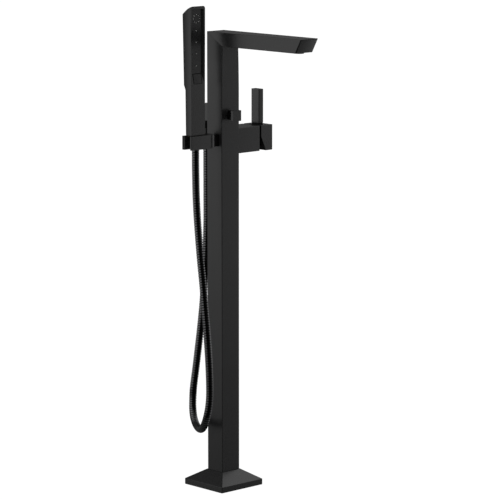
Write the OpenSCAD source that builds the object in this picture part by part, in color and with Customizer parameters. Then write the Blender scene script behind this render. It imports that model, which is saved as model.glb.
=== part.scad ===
// Floor standing bath filler: square column with a mitred spout, a side valve with a lever
// handle, a pull knob for the hand shower, and the hand shower with its hose and holder.
// Millimetres. The origin is the middle of the base, on the floor. Front is -Y, up is +Z.

/* [Column] */
// Width of the column and of the spout, left to right
col_w = 52; // [47:0.5:56]
// Depth of the column, front to back
col_d = 48; // [44:0.5:52]
// Wall of the column and of the spout
col_wall = 3.5; // [3:0.1:3.5]
// Rounding of the column's long edges
col_edge_r = 1.2; // [0.8:0.1:2.5]
// Height of the spout's top face above the floor
spout_top_z = 1016; // [980:1:1100]
// How far each side draws in at the inner corner of the mitre
pinch = 2; // [0:0.1:2]
// Length of column over which the drawn-in sides fade out
pinch_down = 110; // [60:1:120]

/* [Spout] */
// Thickness of the spout, top to bottom
spout_t = 30.8; // [28:0.2:36]
// Reach of the spout's top face from the front of the column
spout_reach = 245.5; // [200:0.5:280]
// How much shorter the underside is than the top
spout_undercut = 17.5; // [8:0.5:20]
// Lip round the end plate
spout_lip = 1.2; // [1:0.1:1.4]
// Reveal between the lip and the end plate
spout_reveal = 1.4; // [0.8:0.1:1.6]
// Thickness of the end plate
end_plate_t = 3.4; // [3:0.1:3.8]
// How far the end plate stands out of the lip
end_plate_out = 1.2; // [0.8:0.1:1.6]

/* [Base] */
// Width of the square base cover
base_w = 123.5; // [110:0.5:140]
// Height of the cover's upright skirt
base_skirt_h = 13; // [10:0.5:18]
// Height of the whole cover
base_h = 35.3; // [32:0.1:42]
// Wall of the cover
base_wall = 3; // [2:0.2:3.4]
// Gap between the cover and the column, filled by the seal
base_reveal = 0.9; // [0.6:0.1:1.4]
// Gap between the floor flange and the cover's wall
flange_gap = 4.75; // [2:0.25:6]
// Thickness of the floor flange
flange_t = 8; // [6:0.5:10]
// Distance of the floor bolt holes from the flange's edge
bolt_inset = 12; // [9:0.5:15]
// Diameter of the floor bolt holes
bolt_hole_d = 7; // [6:0.5:9]
// Wall of the collar that holds the foot of the column
collar_wall = 6; // [4:0.5:7]
// Height of that collar above the flange plate
collar_h = 15; // [12:0.5:15]

/* [Valve] */
// Height of the valve's axis
valve_z = 775; // [740:1:800]
// Depth of the valve's axis behind the column's centre
valve_y = 4.8; // [3:0.1:5]
// Side of the square valve cover
valve_w = 56.4; // [54:0.2:60]
// Length of the valve cover, out from the column
valve_len = 62.3; // [60:0.1:68]
// Wall of the valve cover
valve_wall = 3; // [2:0.2:3.4]
// Length of the handle block
block_len = 33.5; // [31:0.5:38]
// Side of the square handle block
block_w = 56.8; // [54:0.2:60]
// Gap between the valve cover and the handle block
handle_gap = 5; // [4:0.2:6]
// Angle that the handle tilts to open the water
tilt_deg = 24; // [15:1:24]
// Width of the lever, along the valve
lever_w = 13.8; // [10:0.2:14]
// Depth of the lever, front to back
lever_d = 25; // [20:0.5:28]
// Height of the lever above the handle block
lever_h = 78.6; // [60:0.2:95]
// Height of the dark neck under the lever
lever_rise = 3.4; // [2:0.1:4.5]

/* [Diverter] */
// Height of the diverter's axis above the valve's axis
diverter_rise = 58.7; // [52:0.1:64]
// Width of the square knob
knob_w = 24.2; // [20:0.2:28]
// Height of the knob
knob_h = 23.5; // [20:0.2:28]
// Thickness of the knob
knob_t = 7.5; // [6:0.5:9]
// Gap behind the knob when it is pushed in
knob_gap = 14.1; // [13:0.1:17]
// How far the knob pulls out
knob_travel = 9; // [5:0.5:9]

/* [Holder] */
// Length of the holder's neck, out from the column
neck_len = 14.4; // [12:0.1:18]
// Length of the holder's collar
collar_len = 13.5; // [11:0.5:16]
// Length of the fork
fork_len = 57.5; // [54:0.5:62]
// Depth of the fork, front to back
fork_d = 31.1; // [29:0.1:34]
// Height of the fork
fork_h = 30.2; // [26:0.2:32]
// Width of the fork's slot
slot_w = 17; // [16.4:0.1:17.2]

/* [Hand shower] */
// Width at the top
hand_w_top = 42.5; // [40:0.5:46]
// Width at the bottom
hand_w_low = 39.6; // [38:0.2:40]
// Depth at the top
hand_d_top = 26; // [23.5:0.1:27]
// Depth at the bottom, where it stands on the fork
hand_d_low = 18; // [17.8:0.1:19]
// Height of the front of the hand shower
hand_h = 279.5; // [270:0.5:290]
// How much lower the back of the top is than its front
hand_slope = 17.5; // [10:0.5:20]
// Depth of the hollow that holds the spray face
trough_depth = 4.5; // [3:0.1:5]
// Travel of the spray button
button_travel = 1.6; // [1:0.1:1.6]

/* [Hose] */
// Outside diameter of the hose over its ribs
hose_d = 15.2; // [13.6:0.1:15.4]
// Bore of the hose
hose_bore_d = 9; // [8:0.5:10]
// Number of ribs
hose_ribs = 190; // [40:1:200]

/* [Hidden] */

$fn = 48;
fit = 0.05;          // radial clearance of pieces that turn, slide or screw together
seat = 0.3;          // gap where a piece sits loosely
cut = 1;             // overrun of every cut
matt_black = "#26272a";
dark_black = "#151517";
brass = "#b59a5b";
steel = "#a9adb1";
rubber = "#1b1b1c";
plastic = "#d9d9d4";

// Column and spout
col_front = -col_d / 2;
col_back = col_d / 2;
col_side = col_w / 2;
spout_low_z = spout_top_z - spout_t;
pinch_out = 50;                         // length of spout over which the drawn-in sides fade
pinch_steps = 6;
bore_half_w = col_side - col_wall;      // inside half width of column and spout
bore_half_d = col_back - col_wall;
spout_bore_low = spout_low_z + col_wall;
spout_bore_top = spout_top_z - col_wall;
tip_top_y = col_front - spout_reach;
tip_low_y = tip_top_y + spout_undercut;

// Water way inside
pipe_r = 6;
pipe_bore_r = 5;
pipe_x = 11;                            // hot and cold pipes, either side of the centre
inlet_r = 10;
inlet_low_z = 3;
inlet_len = 35;
inlet_thread_r = 7.5;
inlet_thread_len = 14;
inlet_socket = 8;
riser_r = 7;
riser_bore_r = 5.8;
riser_bend_r = 18;
socket_len = 12;
manifold_below = 27;                    // reach of the manifold below the valve's axis
manifold_above = 25;                    // and above the diverter's axis
diverter_z = valve_z + diverter_rise;
manifold_low_z = valve_z - manifold_below;
manifold_top_z = diverter_z + manifold_above;
manifold_gap = 0.5;
manifold_back = bore_half_d - manifold_gap;
spout_mid_z = (spout_bore_low + spout_bore_top) / 2;

// Aerator
aerator_back = 14;                      // distance behind the underside's front edge
aerator_y = tip_low_y + aerator_back;
aerator_rim_r = 11;
aerator_rim_h = 2;
aerator_r = 10;
riser_end_y = aerator_y + aerator_r + seat;
aerator_bore_r = 8;
aerator_len = 8.5;
socket_r = 14;
socket_front = 1.4;                     // wall of the socket's flat front, behind the end plate
socket_h = 21;
washer_t = 1.5;
screen_t = 1.4;
screen_hole_r = 1.3;
screen_ring_r = 4.8;

// Base
flange_edge_r = 6;
flange_w = base_w - 2 * (base_wall + flange_gap);
bolt_spacing = flange_w - 2 * bolt_inset;
screw_r = 3;
cover_edge_r = 1.5;
cover_brim = 2;                         // thickness of the cover where it meets the seal
seal_drop = 0.6;                        // the seal lies this far below the cover's top edge

// Valve
port_r = 8;
core_r = 24;
core_bore_r = 17.5;
core_low_x = col_side + valve_wall;
valve_end_x = col_side + valve_len;
valve_plate_t = 3;
core_top_x = valve_end_x - valve_plate_t - 2 * seat;
cart_low_x = core_low_x + 7.5;
cart_seal_t = 1.5;
cart_seal_r = 15;
cart_seal_bore_r = 9;
bonnet_r = 18.5;
bonnet_bore_r = 16.2;
bonnet_low_x = valve_end_x - 16.8;
bonnet_end_x = valve_end_x + 13.2;
shaft_r = 8;
shaft_len = 22;
rotor_r = 14;
rotor_back = 8;                         // reach of the rotor's head behind the pivot
rotor_front = 6;                        // and in front of it
pin_len = 26;
pivot_in = 8.3;                         // depth of the tilt pivot behind the valve's end
pivot_x = valve_end_x - pivot_in;
pin_r = 2;
shaft_x = pivot_x - rotor_back - shaft_len;
stem_w = 9;
stem_h = 8;
stem_eye_r = 6;
stem_slot_gap = 0.4;

// Handle
block_x = valve_end_x + handle_gap;
block_end_x = block_x + block_len;
block_edge = 1;
wedge_rise = 3.5;                       // the wedge cut starts this far above the valve's axis
wedge_deg = 24.5;
stem_end_x = block_end_x - 6.5;
lever_in = 7.6;                         // how far the lever's front is from the block's inner face
lever_x = block_x + lever_in;
lever_foot = 6;
lever_edge = 1.4;
gasket_in = 0.6;                        // the lever stands this far out over its dark neck
lever_foot_in = 2.4;                    // and this far over its foot in the block
gasket_t = 1;
handle_screw_r = 2.5;
handle_screw_len = 10;
handle_screw_x = stem_end_x - 5;
recess_gap = 0.8;
recess_steps = 3;

// Diverter
knob_front = col_front - knob_gap - knob_t;
knob_edge = 1;
div_stem_r = 4;
div_collar_r = 10.5;
div_collar_len = 5;
chamber_r = 8;
chamber_end_y = 11;
bush_len = 7;
piston_core_r = 6;
piston_rim = 1;
piston_t = 4.4;
piston_rest = 4.5;                      // left between the bush and the pulled piston
piston_y = bush_len - manifold_back + knob_travel + piston_rest;
stem_into_knob = 5;

// Outlet at the back
elbow_w = 25;
elbow_d = 42;
elbow_h = 36;
elbow_drop = 16.7;                      // underside below the diverter's axis
elbow_edge = 1.5;
elbow_z = diverter_z - elbow_drop;
way_r = 5;
stud_socket = 8.5;
outlet_back = 29;
outlet_y = col_back + outlet_back;
nipple_r = 9;
nipple_h = 18;
nipple_neck_r = 7;
nipple_spigot = 7;
outlet_nut_r = 10.5;
outlet_nut_h = 24;
outlet_nut_cone = 4;
outlet_hose_z = elbow_z - nipple_h - outlet_nut_h;
nut_edge = 0.6;                         // the nut's narrow end stands this far round the hose
nut_floor = 8.5;                        // solid end of a nut, below its washer
washer_bore_r = 4.5;

// Holder
holder_z = valve_z + 4.6;
holder_front = -21;
holder_y = holder_front + fork_d / 2;
neck_w = 16;
neck_h = 26;
neck_shift = 1.6;                       // the neck stands this far in front of the fork's centre
stud_y = holder_y - neck_shift;
gasket_gap = 0.7;
collar_round = 8;
fork_edge = 1.2;
stud_r = 3;
holder_bite = 9;                        // reach of the stud into the manifold
fork_bite = 10;                         // and into the fork
neck_x = -col_side - neck_len;
collar_x = neck_x - collar_len;
fork_x = collar_x - gasket_gap;
fork_end_x = fork_x - fork_len;
fork_low_z = holder_z - fork_h / 2;
fork_top_z = holder_z + fork_h / 2;

// Hand shower
slot_reach = 23.6;                      // from the fork's end to the hose's axis
hand_x = fork_end_x + slot_reach;
fork_lip = 5.1;                         // wall of the fork in front of its slot
slot_y = holder_front + fork_lip + slot_w / 2;
foot_h = 1.8;
foot_in = 1;                            // the foot is this much narrower on each side
foot_ledge = 0.3;
hand_low_z = fork_top_z + foot_h;
hand_front = slot_y - hand_d_low / 2;
hand_top_z = hand_low_z + hand_h;
step_low = 98;                          // the back steps out between these two heights
step_high = 109;
step_d_low = 18.6;
step_d_high = 23.3;
hand_corner = 6;
hand_bulge = 1.2;                       // how far the top rises above a straight slope
lip_w = 3.1;
trough_slope = 4.9;
trough_top = 6.5;                       // below the top of the front
trough_low = 136;                       // above the bottom
face_t = 2.5;
face_gap = 0.2;
mat_t = 1;
nozzle_r = 1.7;
nozzle_out = 1.2;
ring_r = 9.2;
ring_count = 8;
ring_drop = 27.2;                       // centre of the ring below the top of the front
row_shares = [0.343, 0.521, 0.697, 0.898];   // places of the single nozzles down the spray face
chamber_back = 5;
chamber_in = 1.2;
button_low = 111.3;
button_high = 134;
button_w = 23.8;
button_gap = 0.4;
button_lift = 0.3;                      // depth of the button's bottom edge behind the front
button_sink = 3.9;                      // depth of the button's top edge behind the front
button_back = 5.8;
pocket_depth = 8;
plunger_r = 2.5;
plunger_len = 8.6;
spring_r = 4.4;
spring_bore_r = 3.2;
spring_pocket = 5;
spigot_r = 6;
spigot_in = 3.5;
spigot_bore_r = 3.5;
hand_washer_bore_r = 4;
water_r = 4;
water_bore_r = 3;
water_len = 102;
hand_nut_r = 7.9;
hand_nut_h = 26;
nut_gap = 4.7;                          // gap between the nut and the fork's top face
hand_nut_top = fork_top_z - nut_gap;
hand_nut_low = hand_nut_top - hand_nut_h;

// Hose: the points that it follows, from the outlet down, round the loop and up to the hand
// shower. They are chosen by hand. Its two ends stand below the nuts.
hose_route = [
    [0, 53, 775], [0, 53, 745], [0, 53, 700], [0, 53, 650], [0, 53, 600], [-1, 54, 550], [-3, 55, 500],
    [-6, 56, 450], [-10, 57, 400], [-15, 59, 350], [-22, 60, 300], [-28.1, 60.9, 258],
    [-33.5, 62.6, 217.9], [-34.5, 63.9, 192.3], [-39.1, 59.1, 170.6], [-46.7, 47.3, 152.3],
    [-55.8, 29.4, 139.9], [-66.1, 7.8, 135.9], [-76.7, -13.7, 141.4], [-85.7, -31.8, 155.9],
    [-90, -44.6, 177.3], [-89.4, -49.9, 201.2], [-87.9, -50.8, 228], [-88, -50, 270], [-88.5, -47, 320],
    [-88.5, -42, 370], [-88.5, -36, 420], [-88.5, -30, 470], [-88.5, -23, 520], [-88.5, -17, 570],
    [-88.5, -12, 620], [-88.5, -9, 665], [-88.5, -8, 700], [-88.5, -7.4, 732], [-88.5, -7.4, 749],
    [-88.5, -7.4, 764]];
hose_side = [11, -5, 0];                // a direction square to the loop
hose_sides = 8;
hose_probe = 0.5;
gap_samples = 60;
near_share = 0.15;                      // neighbours closer than this share of the length are left out
rib_h = 1.2;
bore_step = 4;                          // the bore has one ring for this many of the outside

module x_rod(x0, x1, y, z, r) { translate([x0, y, z]) rotate([0, 90, 0]) cylinder(h = x1 - x0, r = r); }

module y_rod(y0, y1, x, z, r) { translate([x, y1, z]) rotate([90, 0, 0]) cylinder(h = y1 - y0, r = r); }

module z_rod(z0, z1, x, y, r) { translate([x, y, z0]) cylinder(h = z1 - z0, r = r); }

module block(x0, x1, y0, y1, z0, z1) { translate([x0, y0, z0]) cube([x1 - x0, y1 - y0, z1 - z0]); }

// Outline of a rectangle with round corners, centred
function round_rect(w, d, rx, ry) = [for (q = [0:3], a = [0:30:90])
    let(sx = (q == 0 || q == 3) ? 1 : -1, sy = q < 2 ? 1 : -1, t = 90 * q + a)
    [sx * (w / 2 - rx) + rx * cos(t), sy * (d / 2 - ry) + ry * sin(t)]];

module slab(w, d, h, r) { linear_extrude(h) polygon(round_rect(w, d, r, r)); }

// A bar along X with rounded long edges, from x0 to x1
module x_bar(x0, x1, y, z, d, h, r) {
    translate([x0, y, z]) rotate([90, 0, 90]) slab(d, h, x1 - x0, r);
}

// A closed solid through rings of points, every ring with the same count
module loft(rings) {
    n = len(rings[0]);
    m = len(rings);
    polyhedron(
        points = [for (ring = rings) each ring],
        faces = [
            [for (i = [0:n - 1]) i],
            [for (i = [n - 1:-1:0]) (m - 1) * n + i],
            for (k = [0:m - 2], i = [0:n - 1])
                let(j = (i + 1) % n, a = k * n)
                each [[a + j, a + i, a + n + j], [a + n + j, a + i, a + n + i]]],
        convexity = 6);
}

// Base

module floor_flange() {
    color(steel) difference() {
        union() {
            slab(flange_w, flange_w, flange_t, flange_edge_r);
            translate([0, 0, flange_t])
                slab(col_w + 2 * (seat + collar_wall), col_d + 2 * (seat + collar_wall), collar_h,
                    collar_wall);
        }
        translate([0, 0, flange_t])
            slab(col_w + 2 * seat, col_d + 2 * seat, collar_h + cut, col_edge_r);
        for (x = [-pipe_x, pipe_x]) z_rod(-cut, flange_t + cut, x, 0, inlet_r + fit);
        for (x = [-1, 1], y = [-1, 1])
            z_rod(-cut, flange_t + cut, x * bolt_spacing / 2, y * bolt_spacing / 2, bolt_hole_d / 2);
        for (side = [0, 180]) rotate(side) collar_screw(screw_r + fit, cut);
    }
}

// One set screw through the collar, square to the column's front
module collar_screw(r, over) {
    y_rod(col_back + seat - over, col_back + seat + collar_wall + over, 0, flange_t + collar_h / 2, r);
}

module collar_screws() { color(steel) for (side = [0, 180]) rotate(side) collar_screw(screw_r, 0); }

// A supply inlet with a thread below and a socket for its pipe above
module inlet(x) {
    top_z = inlet_low_z + inlet_len;
    color(brass) difference() {
        z_rod(inlet_low_z, top_z, x, 0, inlet_r);
        z_rod(inlet_low_z - cut, inlet_low_z + inlet_thread_len, x, 0, inlet_thread_r);
        z_rod(inlet_low_z, top_z, x, 0, pipe_bore_r);
        z_rod(top_z - inlet_socket, top_z + cut, x, 0, pipe_r + fit);
    }
}

module hot_inlet() { inlet(-pipe_x); }

module cold_inlet() { inlet(pipe_x); }

function square_ring(w, d, r, z) = [for (p = round_rect(w, d, r, r)) [p[0], p[1], z]];

module base_cover() {
    hole_w = col_w + 2 * base_reveal;
    hole_d = col_d + 2 * base_reveal;
    slope_z = base_h - cover_brim;
    inner_w = base_w - 2 * base_wall;
    color(matt_black) difference() {
        loft([square_ring(base_w, base_w, cover_edge_r, 0),
            square_ring(base_w, base_w, cover_edge_r, base_skirt_h),
            square_ring(hole_w + cover_brim, hole_d + cover_brim, cover_edge_r, base_h)]);
        loft([square_ring(inner_w, inner_w, cover_edge_r, -cut),
            square_ring(inner_w, inner_w, cover_edge_r, base_skirt_h - cover_brim / 2),
            square_ring(hole_w, hole_d, cover_edge_r, slope_z)]);
        slab(hole_w, hole_d, base_h + cut, cover_edge_r);
    }
}

module base_seal() {
    low_z = base_h - cover_brim;
    color(rubber) difference() {
        translate([0, 0, low_z])
            slab(col_w + 2 * (base_reveal - fit), col_d + 2 * (base_reveal - fit),
                cover_brim - seal_drop, cover_edge_r);
        translate([0, 0, low_z - cut])
            slab(col_w + 2 * fit, col_d + 2 * fit, cover_brim + 2 * cut, col_edge_r);
    }
}

// Column and spout

// Outline shared by both, as shares of their width and of their depth or thickness
edge_shares = round_rect(1, 1, col_edge_r / col_w, 2 * col_edge_r / (col_d + spout_t));

// A ring of the column: t runs from 0, where the sides start to draw in, to 1 at the mitre
function column_ring(t, start_z) = [for (p = edge_shares)
    let(rise = p[1] + 0.5, mitre_z = spout_low_z + rise * spout_t)
    [2 * p[0] * (col_side - pinch * t * t * (1 - rise)), p[1] * col_d, start_z + t * (mitre_z - start_z)]];

// A ring of the spout: t runs from 0 at the mitre to 1, where the sides are straight again
function spout_ring(t) = [for (p = edge_shares)
    let(rise = p[1] + 0.5, mitre_y = col_front + rise * col_d, draw = pinch * (1 - t) * (1 - t))
    [2 * p[0] * (col_side - draw * (1 - rise)), mitre_y + t * (col_front - pinch_out - mitre_y),
        spout_low_z + rise * spout_t]];

function tip_ring() = [for (p = edge_shares)
    let(rise = p[1] + 0.5)
    [p[0] * col_w, tip_low_y + rise * (tip_top_y - tip_low_y), spout_low_z + rise * spout_t]];

// The hollow of column and spout together
module inner_way() {
    block(-bore_half_w, bore_half_w, -bore_half_d, bore_half_d, 0, spout_bore_top);
    block(-bore_half_w, bore_half_w, tip_top_y - cut, bore_half_d, spout_bore_low, spout_bore_top);
}

module column() {
    start_z = spout_low_z - pinch_down;
    color(matt_black) difference() {
        loft([column_ring(0, flange_t), for (k = [0:pinch_steps]) column_ring(k / pinch_steps, start_z)]);
        inner_way();
        x_rod(bore_half_w - cut, col_side + cut, valve_y, valve_z, port_r + seat);
        x_rod(-col_side - cut, -bore_half_w + cut, stud_y, holder_z, stud_r + seat);
        y_rod(col_front - cut, cut - bore_half_d, 0, diverter_z, chamber_r + seat);
        y_rod(bore_half_d - cut, col_back + cut, 0, diverter_z, port_r + seat);
    }
}

// The slanted mouth of the spout, a lip smaller all round, from one depth to another behind its rim
module mouth(lip, front, back) {
    slant = [0, tip_top_y - tip_low_y, spout_t] / spout_t;
    low = spout_low_z + lip;
    high = spout_top_z - lip;
    translate([-col_side + lip, 0, 0]) rotate([90, 0, 90]) linear_extrude(col_w - 2 * lip)
        polygon([for (e = [[low, front], [high, front], [high, back], [low, back]])
            [tip_low_y + slant[1] * (e[0] - spout_low_z) + e[1], e[0]]]);
}

module spout() {
    color(matt_black) difference() {
        loft([for (k = [0:pinch_steps]) spout_ring(k / pinch_steps), tip_ring()]);
        inner_way();
        mouth(spout_lip, -cut, end_plate_t - end_plate_out + seat);
        z_rod(spout_low_z - cut, spout_bore_low + cut, 0, aerator_y, aerator_r + seat);
    }
}

module spout_end_plate() {
    color(dark_black) mouth(spout_lip + spout_reveal, -end_plate_out, end_plate_t - end_plate_out);
}

module aerator_socket() {
    top_z = spout_bore_low + socket_h;
    color(brass) difference() {
        z_rod(spout_bore_low, top_z, 0, aerator_y, socket_r);
        block(-socket_r, socket_r, aerator_y - socket_r - cut, aerator_y - aerator_r - socket_front,
            spout_bore_low - cut, top_z + cut);
        z_rod(spout_bore_low - cut, aerator_top_z + washer_t, 0, aerator_y, aerator_r + fit);
        z_rod(spout_bore_low, spout_mid_z, 0, aerator_y, riser_bore_r);
        y_rod(aerator_y, aerator_y + socket_r + cut, 0, spout_mid_z, riser_bore_r);
        y_rod(riser_end_y, aerator_y + socket_r + cut, 0, spout_mid_z, riser_r + fit);
    }
}

aerator_low_z = spout_low_z - aerator_rim_h;
aerator_top_z = spout_low_z + aerator_len;

module aerator_housing() {
    color(dark_black) difference() {
        union() {
            z_rod(aerator_low_z, spout_low_z, 0, aerator_y, aerator_rim_r);
            z_rod(spout_low_z, aerator_top_z, 0, aerator_y, aerator_r);
        }
        z_rod(aerator_low_z - cut, aerator_top_z + cut, 0, aerator_y, aerator_bore_r);
    }
}

module aerator_screen() {
    color(plastic) difference() {
        z_rod(spout_low_z, spout_low_z + screen_t, 0, aerator_y, aerator_bore_r - fit);
        for (k = [0:5]) translate([0, aerator_y, 0]) rotate(60 * k)
            z_rod(aerator_low_z, aerator_top_z, screen_ring_r, 0, screen_hole_r);
        z_rod(aerator_low_z, aerator_top_z, 0, aerator_y, screen_hole_r);
    }
}

module aerator_washer() {
    color(rubber) difference() {
        z_rod(aerator_top_z, aerator_top_z + washer_t, 0, aerator_y, aerator_r - fit);
        z_rod(aerator_top_z - cut, aerator_top_z + washer_t + cut, 0, aerator_y, riser_r);
    }
}

// Water ways in the column

module supply_pipe(x) {
    color(brass) difference() {
        z_rod(inlet_low_z + inlet_len - inlet_socket, manifold_low_z + socket_len, x, 0, pipe_r);
        z_rod(inlet_low_z, manifold_top_z, x, 0, pipe_bore_r);
    }
}

module hot_pipe() { supply_pipe(-pipe_x); }

module cold_pipe() { supply_pipe(pipe_x); }

module manifold() {
    half_w = bore_half_w - manifold_gap;
    color(brass) difference() {
        block(-half_w, half_w, -manifold_back, manifold_back, manifold_low_z, manifold_top_z);
        for (x = [-pipe_x, pipe_x]) {
            z_rod(manifold_low_z - cut, manifold_low_z + socket_len, x, 0, pipe_r + fit);
            z_rod(manifold_low_z, valve_z, x, 0, pipe_bore_r);
        }
        x_rod(-pipe_x, half_w + cut, 0, valve_z, pipe_bore_r);
        x_rod(half_w - socket_len, half_w + cut, valve_y, valve_z, port_r);
        z_rod(valve_z, manifold_top_z, 0, 0, riser_bore_r);
        z_rod(manifold_top_z - socket_len, manifold_top_z + cut, 0, 0, riser_r + fit);
        y_rod(-manifold_back - cut, chamber_end_y, 0, diverter_z, chamber_r);
        y_rod(0, manifold_back + cut, 0, diverter_z, way_r);
        y_rod(manifold_back - stud_socket, manifold_back + cut, 0, diverter_z, port_r);
        x_rod(-half_w - cut, -half_w + holder_bite, stud_y, holder_z, stud_r + fit);
    }
}

// The riser's path: up the column, round the mitre and along the spout
module riser_path(r, over) {
    bend_z = spout_mid_z - riser_bend_r;
    z_rod(manifold_top_z - socket_len - over, bend_z, 0, 0, r);
    translate([0, -riser_bend_r, bend_z]) rotate([90, 0, 90])
        rotate_extrude(angle = 90) translate([riser_bend_r, 0]) circle(r = r);
    y_rod(riser_end_y - over, -riser_bend_r, 0, spout_mid_z, r);
}

module riser_tube() {
    color(brass) difference() {
        riser_path(riser_r, 0);
        riser_path(riser_bore_r, cut);
    }
}

// Valve

module valve_cover() {
    inner = valve_w - 2 * valve_wall;
    color(matt_black) difference() {
        x_bar(col_side, valve_end_x, valve_y, valve_z, valve_w, valve_w, cover_edge_r);
        x_bar(core_low_x, valve_end_x + cut, valve_y, valve_z, inner, inner, fit);
        x_rod(col_side - cut, core_low_x + cut, valve_y, valve_z, port_r + seat);
    }
}

module valve_end_plate() {
    inner = valve_w - 2 * (valve_wall + fit);
    color(dark_black) difference() {
        x_bar(valve_end_x - valve_plate_t, valve_end_x, valve_y, valve_z, inner, inner, fit);
        x_rod(core_top_x, valve_end_x + cut, valve_y, valve_z, bonnet_r + seat);
    }
}

module valve_core() {
    neck_x = bore_half_w - manifold_gap - socket_len;
    color(brass) difference() {
        union() {
            x_rod(neck_x, core_low_x, valve_y, valve_z, port_r - fit);
            x_rod(core_low_x, core_top_x, valve_y, valve_z, core_r);
        }
        x_rod(neck_x - cut, core_top_x, valve_y, valve_z, pipe_bore_r);
        x_rod(cart_low_x, core_top_x, valve_y, valve_z, core_bore_r + fit);
        x_rod(bonnet_low_x, core_top_x + cut, valve_y, valve_z, bonnet_r + fit);
    }
}

module cartridge_seal() {
    color(rubber) difference() {
        x_rod(cart_low_x, cart_low_x + cart_seal_t, valve_y, valve_z, cart_seal_r);
        x_rod(cart_low_x - cut, bonnet_low_x, valve_y, valve_z, cart_seal_bore_r);
    }
}

module cartridge() {
    color(plastic) difference() {
        x_rod(cart_low_x + cart_seal_t, bonnet_low_x, valve_y, valve_z, core_bore_r);
        x_rod(shaft_x - seat, bonnet_low_x + cut, valve_y, valve_z, shaft_r + fit);
    }
}

module bonnet() {
    color(dark_black) difference() {
        x_rod(bonnet_low_x, bonnet_end_x, valve_y, valve_z, bonnet_r);
        x_rod(bonnet_low_x - cut, bonnet_end_x + cut, valve_y, valve_z, bonnet_bore_r);
    }
}

// Turns in the cartridge; its slotted head carries the pin on which the handle tilts
module rotor() {
    half = (stem_w + stem_slot_gap) / 2;
    head_x = pivot_x - rotor_back;
    color(plastic) difference() {
        union() {
            x_rod(shaft_x, head_x, valve_y, valve_z, shaft_r);
            x_rod(head_x, pivot_x + rotor_front, valve_y, valve_z, rotor_r);
        }
        block(pivot_x - stem_eye_r - seat, pivot_x + rotor_front + cut, valve_y - half, valve_y + half,
            valve_z - rotor_r - cut, valve_z + rotor_r + cut);
        y_rod(valve_y - rotor_r - cut, valve_y + rotor_r + cut, pivot_x, valve_z, pin_r + fit);
    }
}

module pivot_pin() {
    color(steel) y_rod(valve_y - pin_len / 2, valve_y + pin_len / 2, pivot_x, valve_z, pin_r);
}

// Handle

module handle_stem() {
    half = stem_w / 2;
    color(steel) difference() {
        union() {
            y_rod(valve_y - half, valve_y + half, pivot_x, valve_z, stem_eye_r);
            block(pivot_x, stem_end_x, valve_y - half, valve_y + half,
                valve_z - stem_h / 2, valve_z + stem_h / 2);
        }
        y_rod(valve_y - stem_w, valve_y + stem_w, pivot_x, valve_z, pin_r + fit);
    }
}

// The lever's outline on the handle block, grown by an amount on each side
module lever_bar(low_z, high_z, grow) {
    translate([lever_x + lever_w / 2, valve_y, low_z])
        slab(lever_w + 2 * grow, lever_d + 2 * grow, high_z - low_z, max(lever_edge + grow, fit));
}

// The space that the bonnet needs in the block while the handle tilts, seen along the pivot
module bonnet_recess() {
    side = bonnet_r + recess_gap;
    reach = bonnet_end_x - pivot_x + recess_gap;
    far_r = norm([reach, side]);
    far_a = atan2(side, reach);
    turns = [for (k = [0:recess_steps]) tilt_deg * k / recess_steps];
    translate([pivot_x, valve_y + side, valve_z]) rotate([90, 0, 0]) linear_extrude(2 * side) polygon([
        [0, -side],
        for (a = turns) [far_r * cos(a - far_a), far_r * sin(a - far_a)],
        [reach, reach * tan(tilt_deg / 2)],
        for (a = turns) [far_r * cos(a + far_a), far_r * sin(a + far_a)],
        [0, far_r * sin(tilt_deg + far_a)]]);
}

module handle_block() {
    top_z = valve_z + block_w / 2;
    color(matt_black) difference() {
        x_bar(block_x, block_end_x, valve_y, valve_z, block_w, block_w, block_edge);
        translate([block_x, valve_y, valve_z + wedge_rise]) rotate([0, -wedge_deg, 0])
            translate([-block_w, -block_w, -block_w]) cube([block_w, 2 * block_w, 2 * block_w]);
        bonnet_recess();
        block(pivot_x, stem_end_x + seat, valve_y - stem_w / 2 - fit, valve_y + stem_w / 2 + fit,
            valve_z - stem_h / 2 - fit, valve_z + stem_h / 2 + fit);
        z_rod(valve_z - block_w / 2 - cut, valve_z, handle_screw_x, valve_y, handle_screw_r + fit);
        lever_bar(top_z - lever_foot, top_z + cut, fit - lever_foot_in);
        lever_bar(top_z - gasket_t, top_z + cut, fit - gasket_in);
    }
}

module handle_screw() {
    top_z = valve_z - stem_h / 2;
    color(steel) z_rod(top_z - handle_screw_len, top_z, handle_screw_x, valve_y, handle_screw_r);
}

module lever() {
    top_z = valve_z + block_w / 2;
    color(matt_black) {
        lever_bar(top_z + lever_rise, top_z + lever_h, 0);
        lever_bar(top_z - lever_foot, top_z + lever_rise, -lever_foot_in);
    }
}

module lever_gasket() {
    top_z = valve_z + block_w / 2;
    color(rubber) difference() {
        lever_bar(top_z - gasket_t, top_z + lever_rise, -gasket_in);
        lever_bar(top_z - gasket_t - cut, top_z + lever_rise + cut, fit - lever_foot_in);
    }
}

// Diverter

module diverter_bush() {
    color(brass) difference() {
        y_rod(-manifold_back, bush_len - manifold_back, 0, diverter_z, chamber_r - fit);
        y_rod(-manifold_back - cut, bush_len + cut - manifold_back, 0, diverter_z, div_stem_r + fit);
    }
}

module diverter_collar() {
    color(dark_black) difference() {
        y_rod(col_front - div_collar_len, col_front, 0, diverter_z, div_collar_r);
        y_rod(col_front - div_collar_len - cut, col_front + cut, 0, diverter_z, div_stem_r + fit);
    }
}

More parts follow.
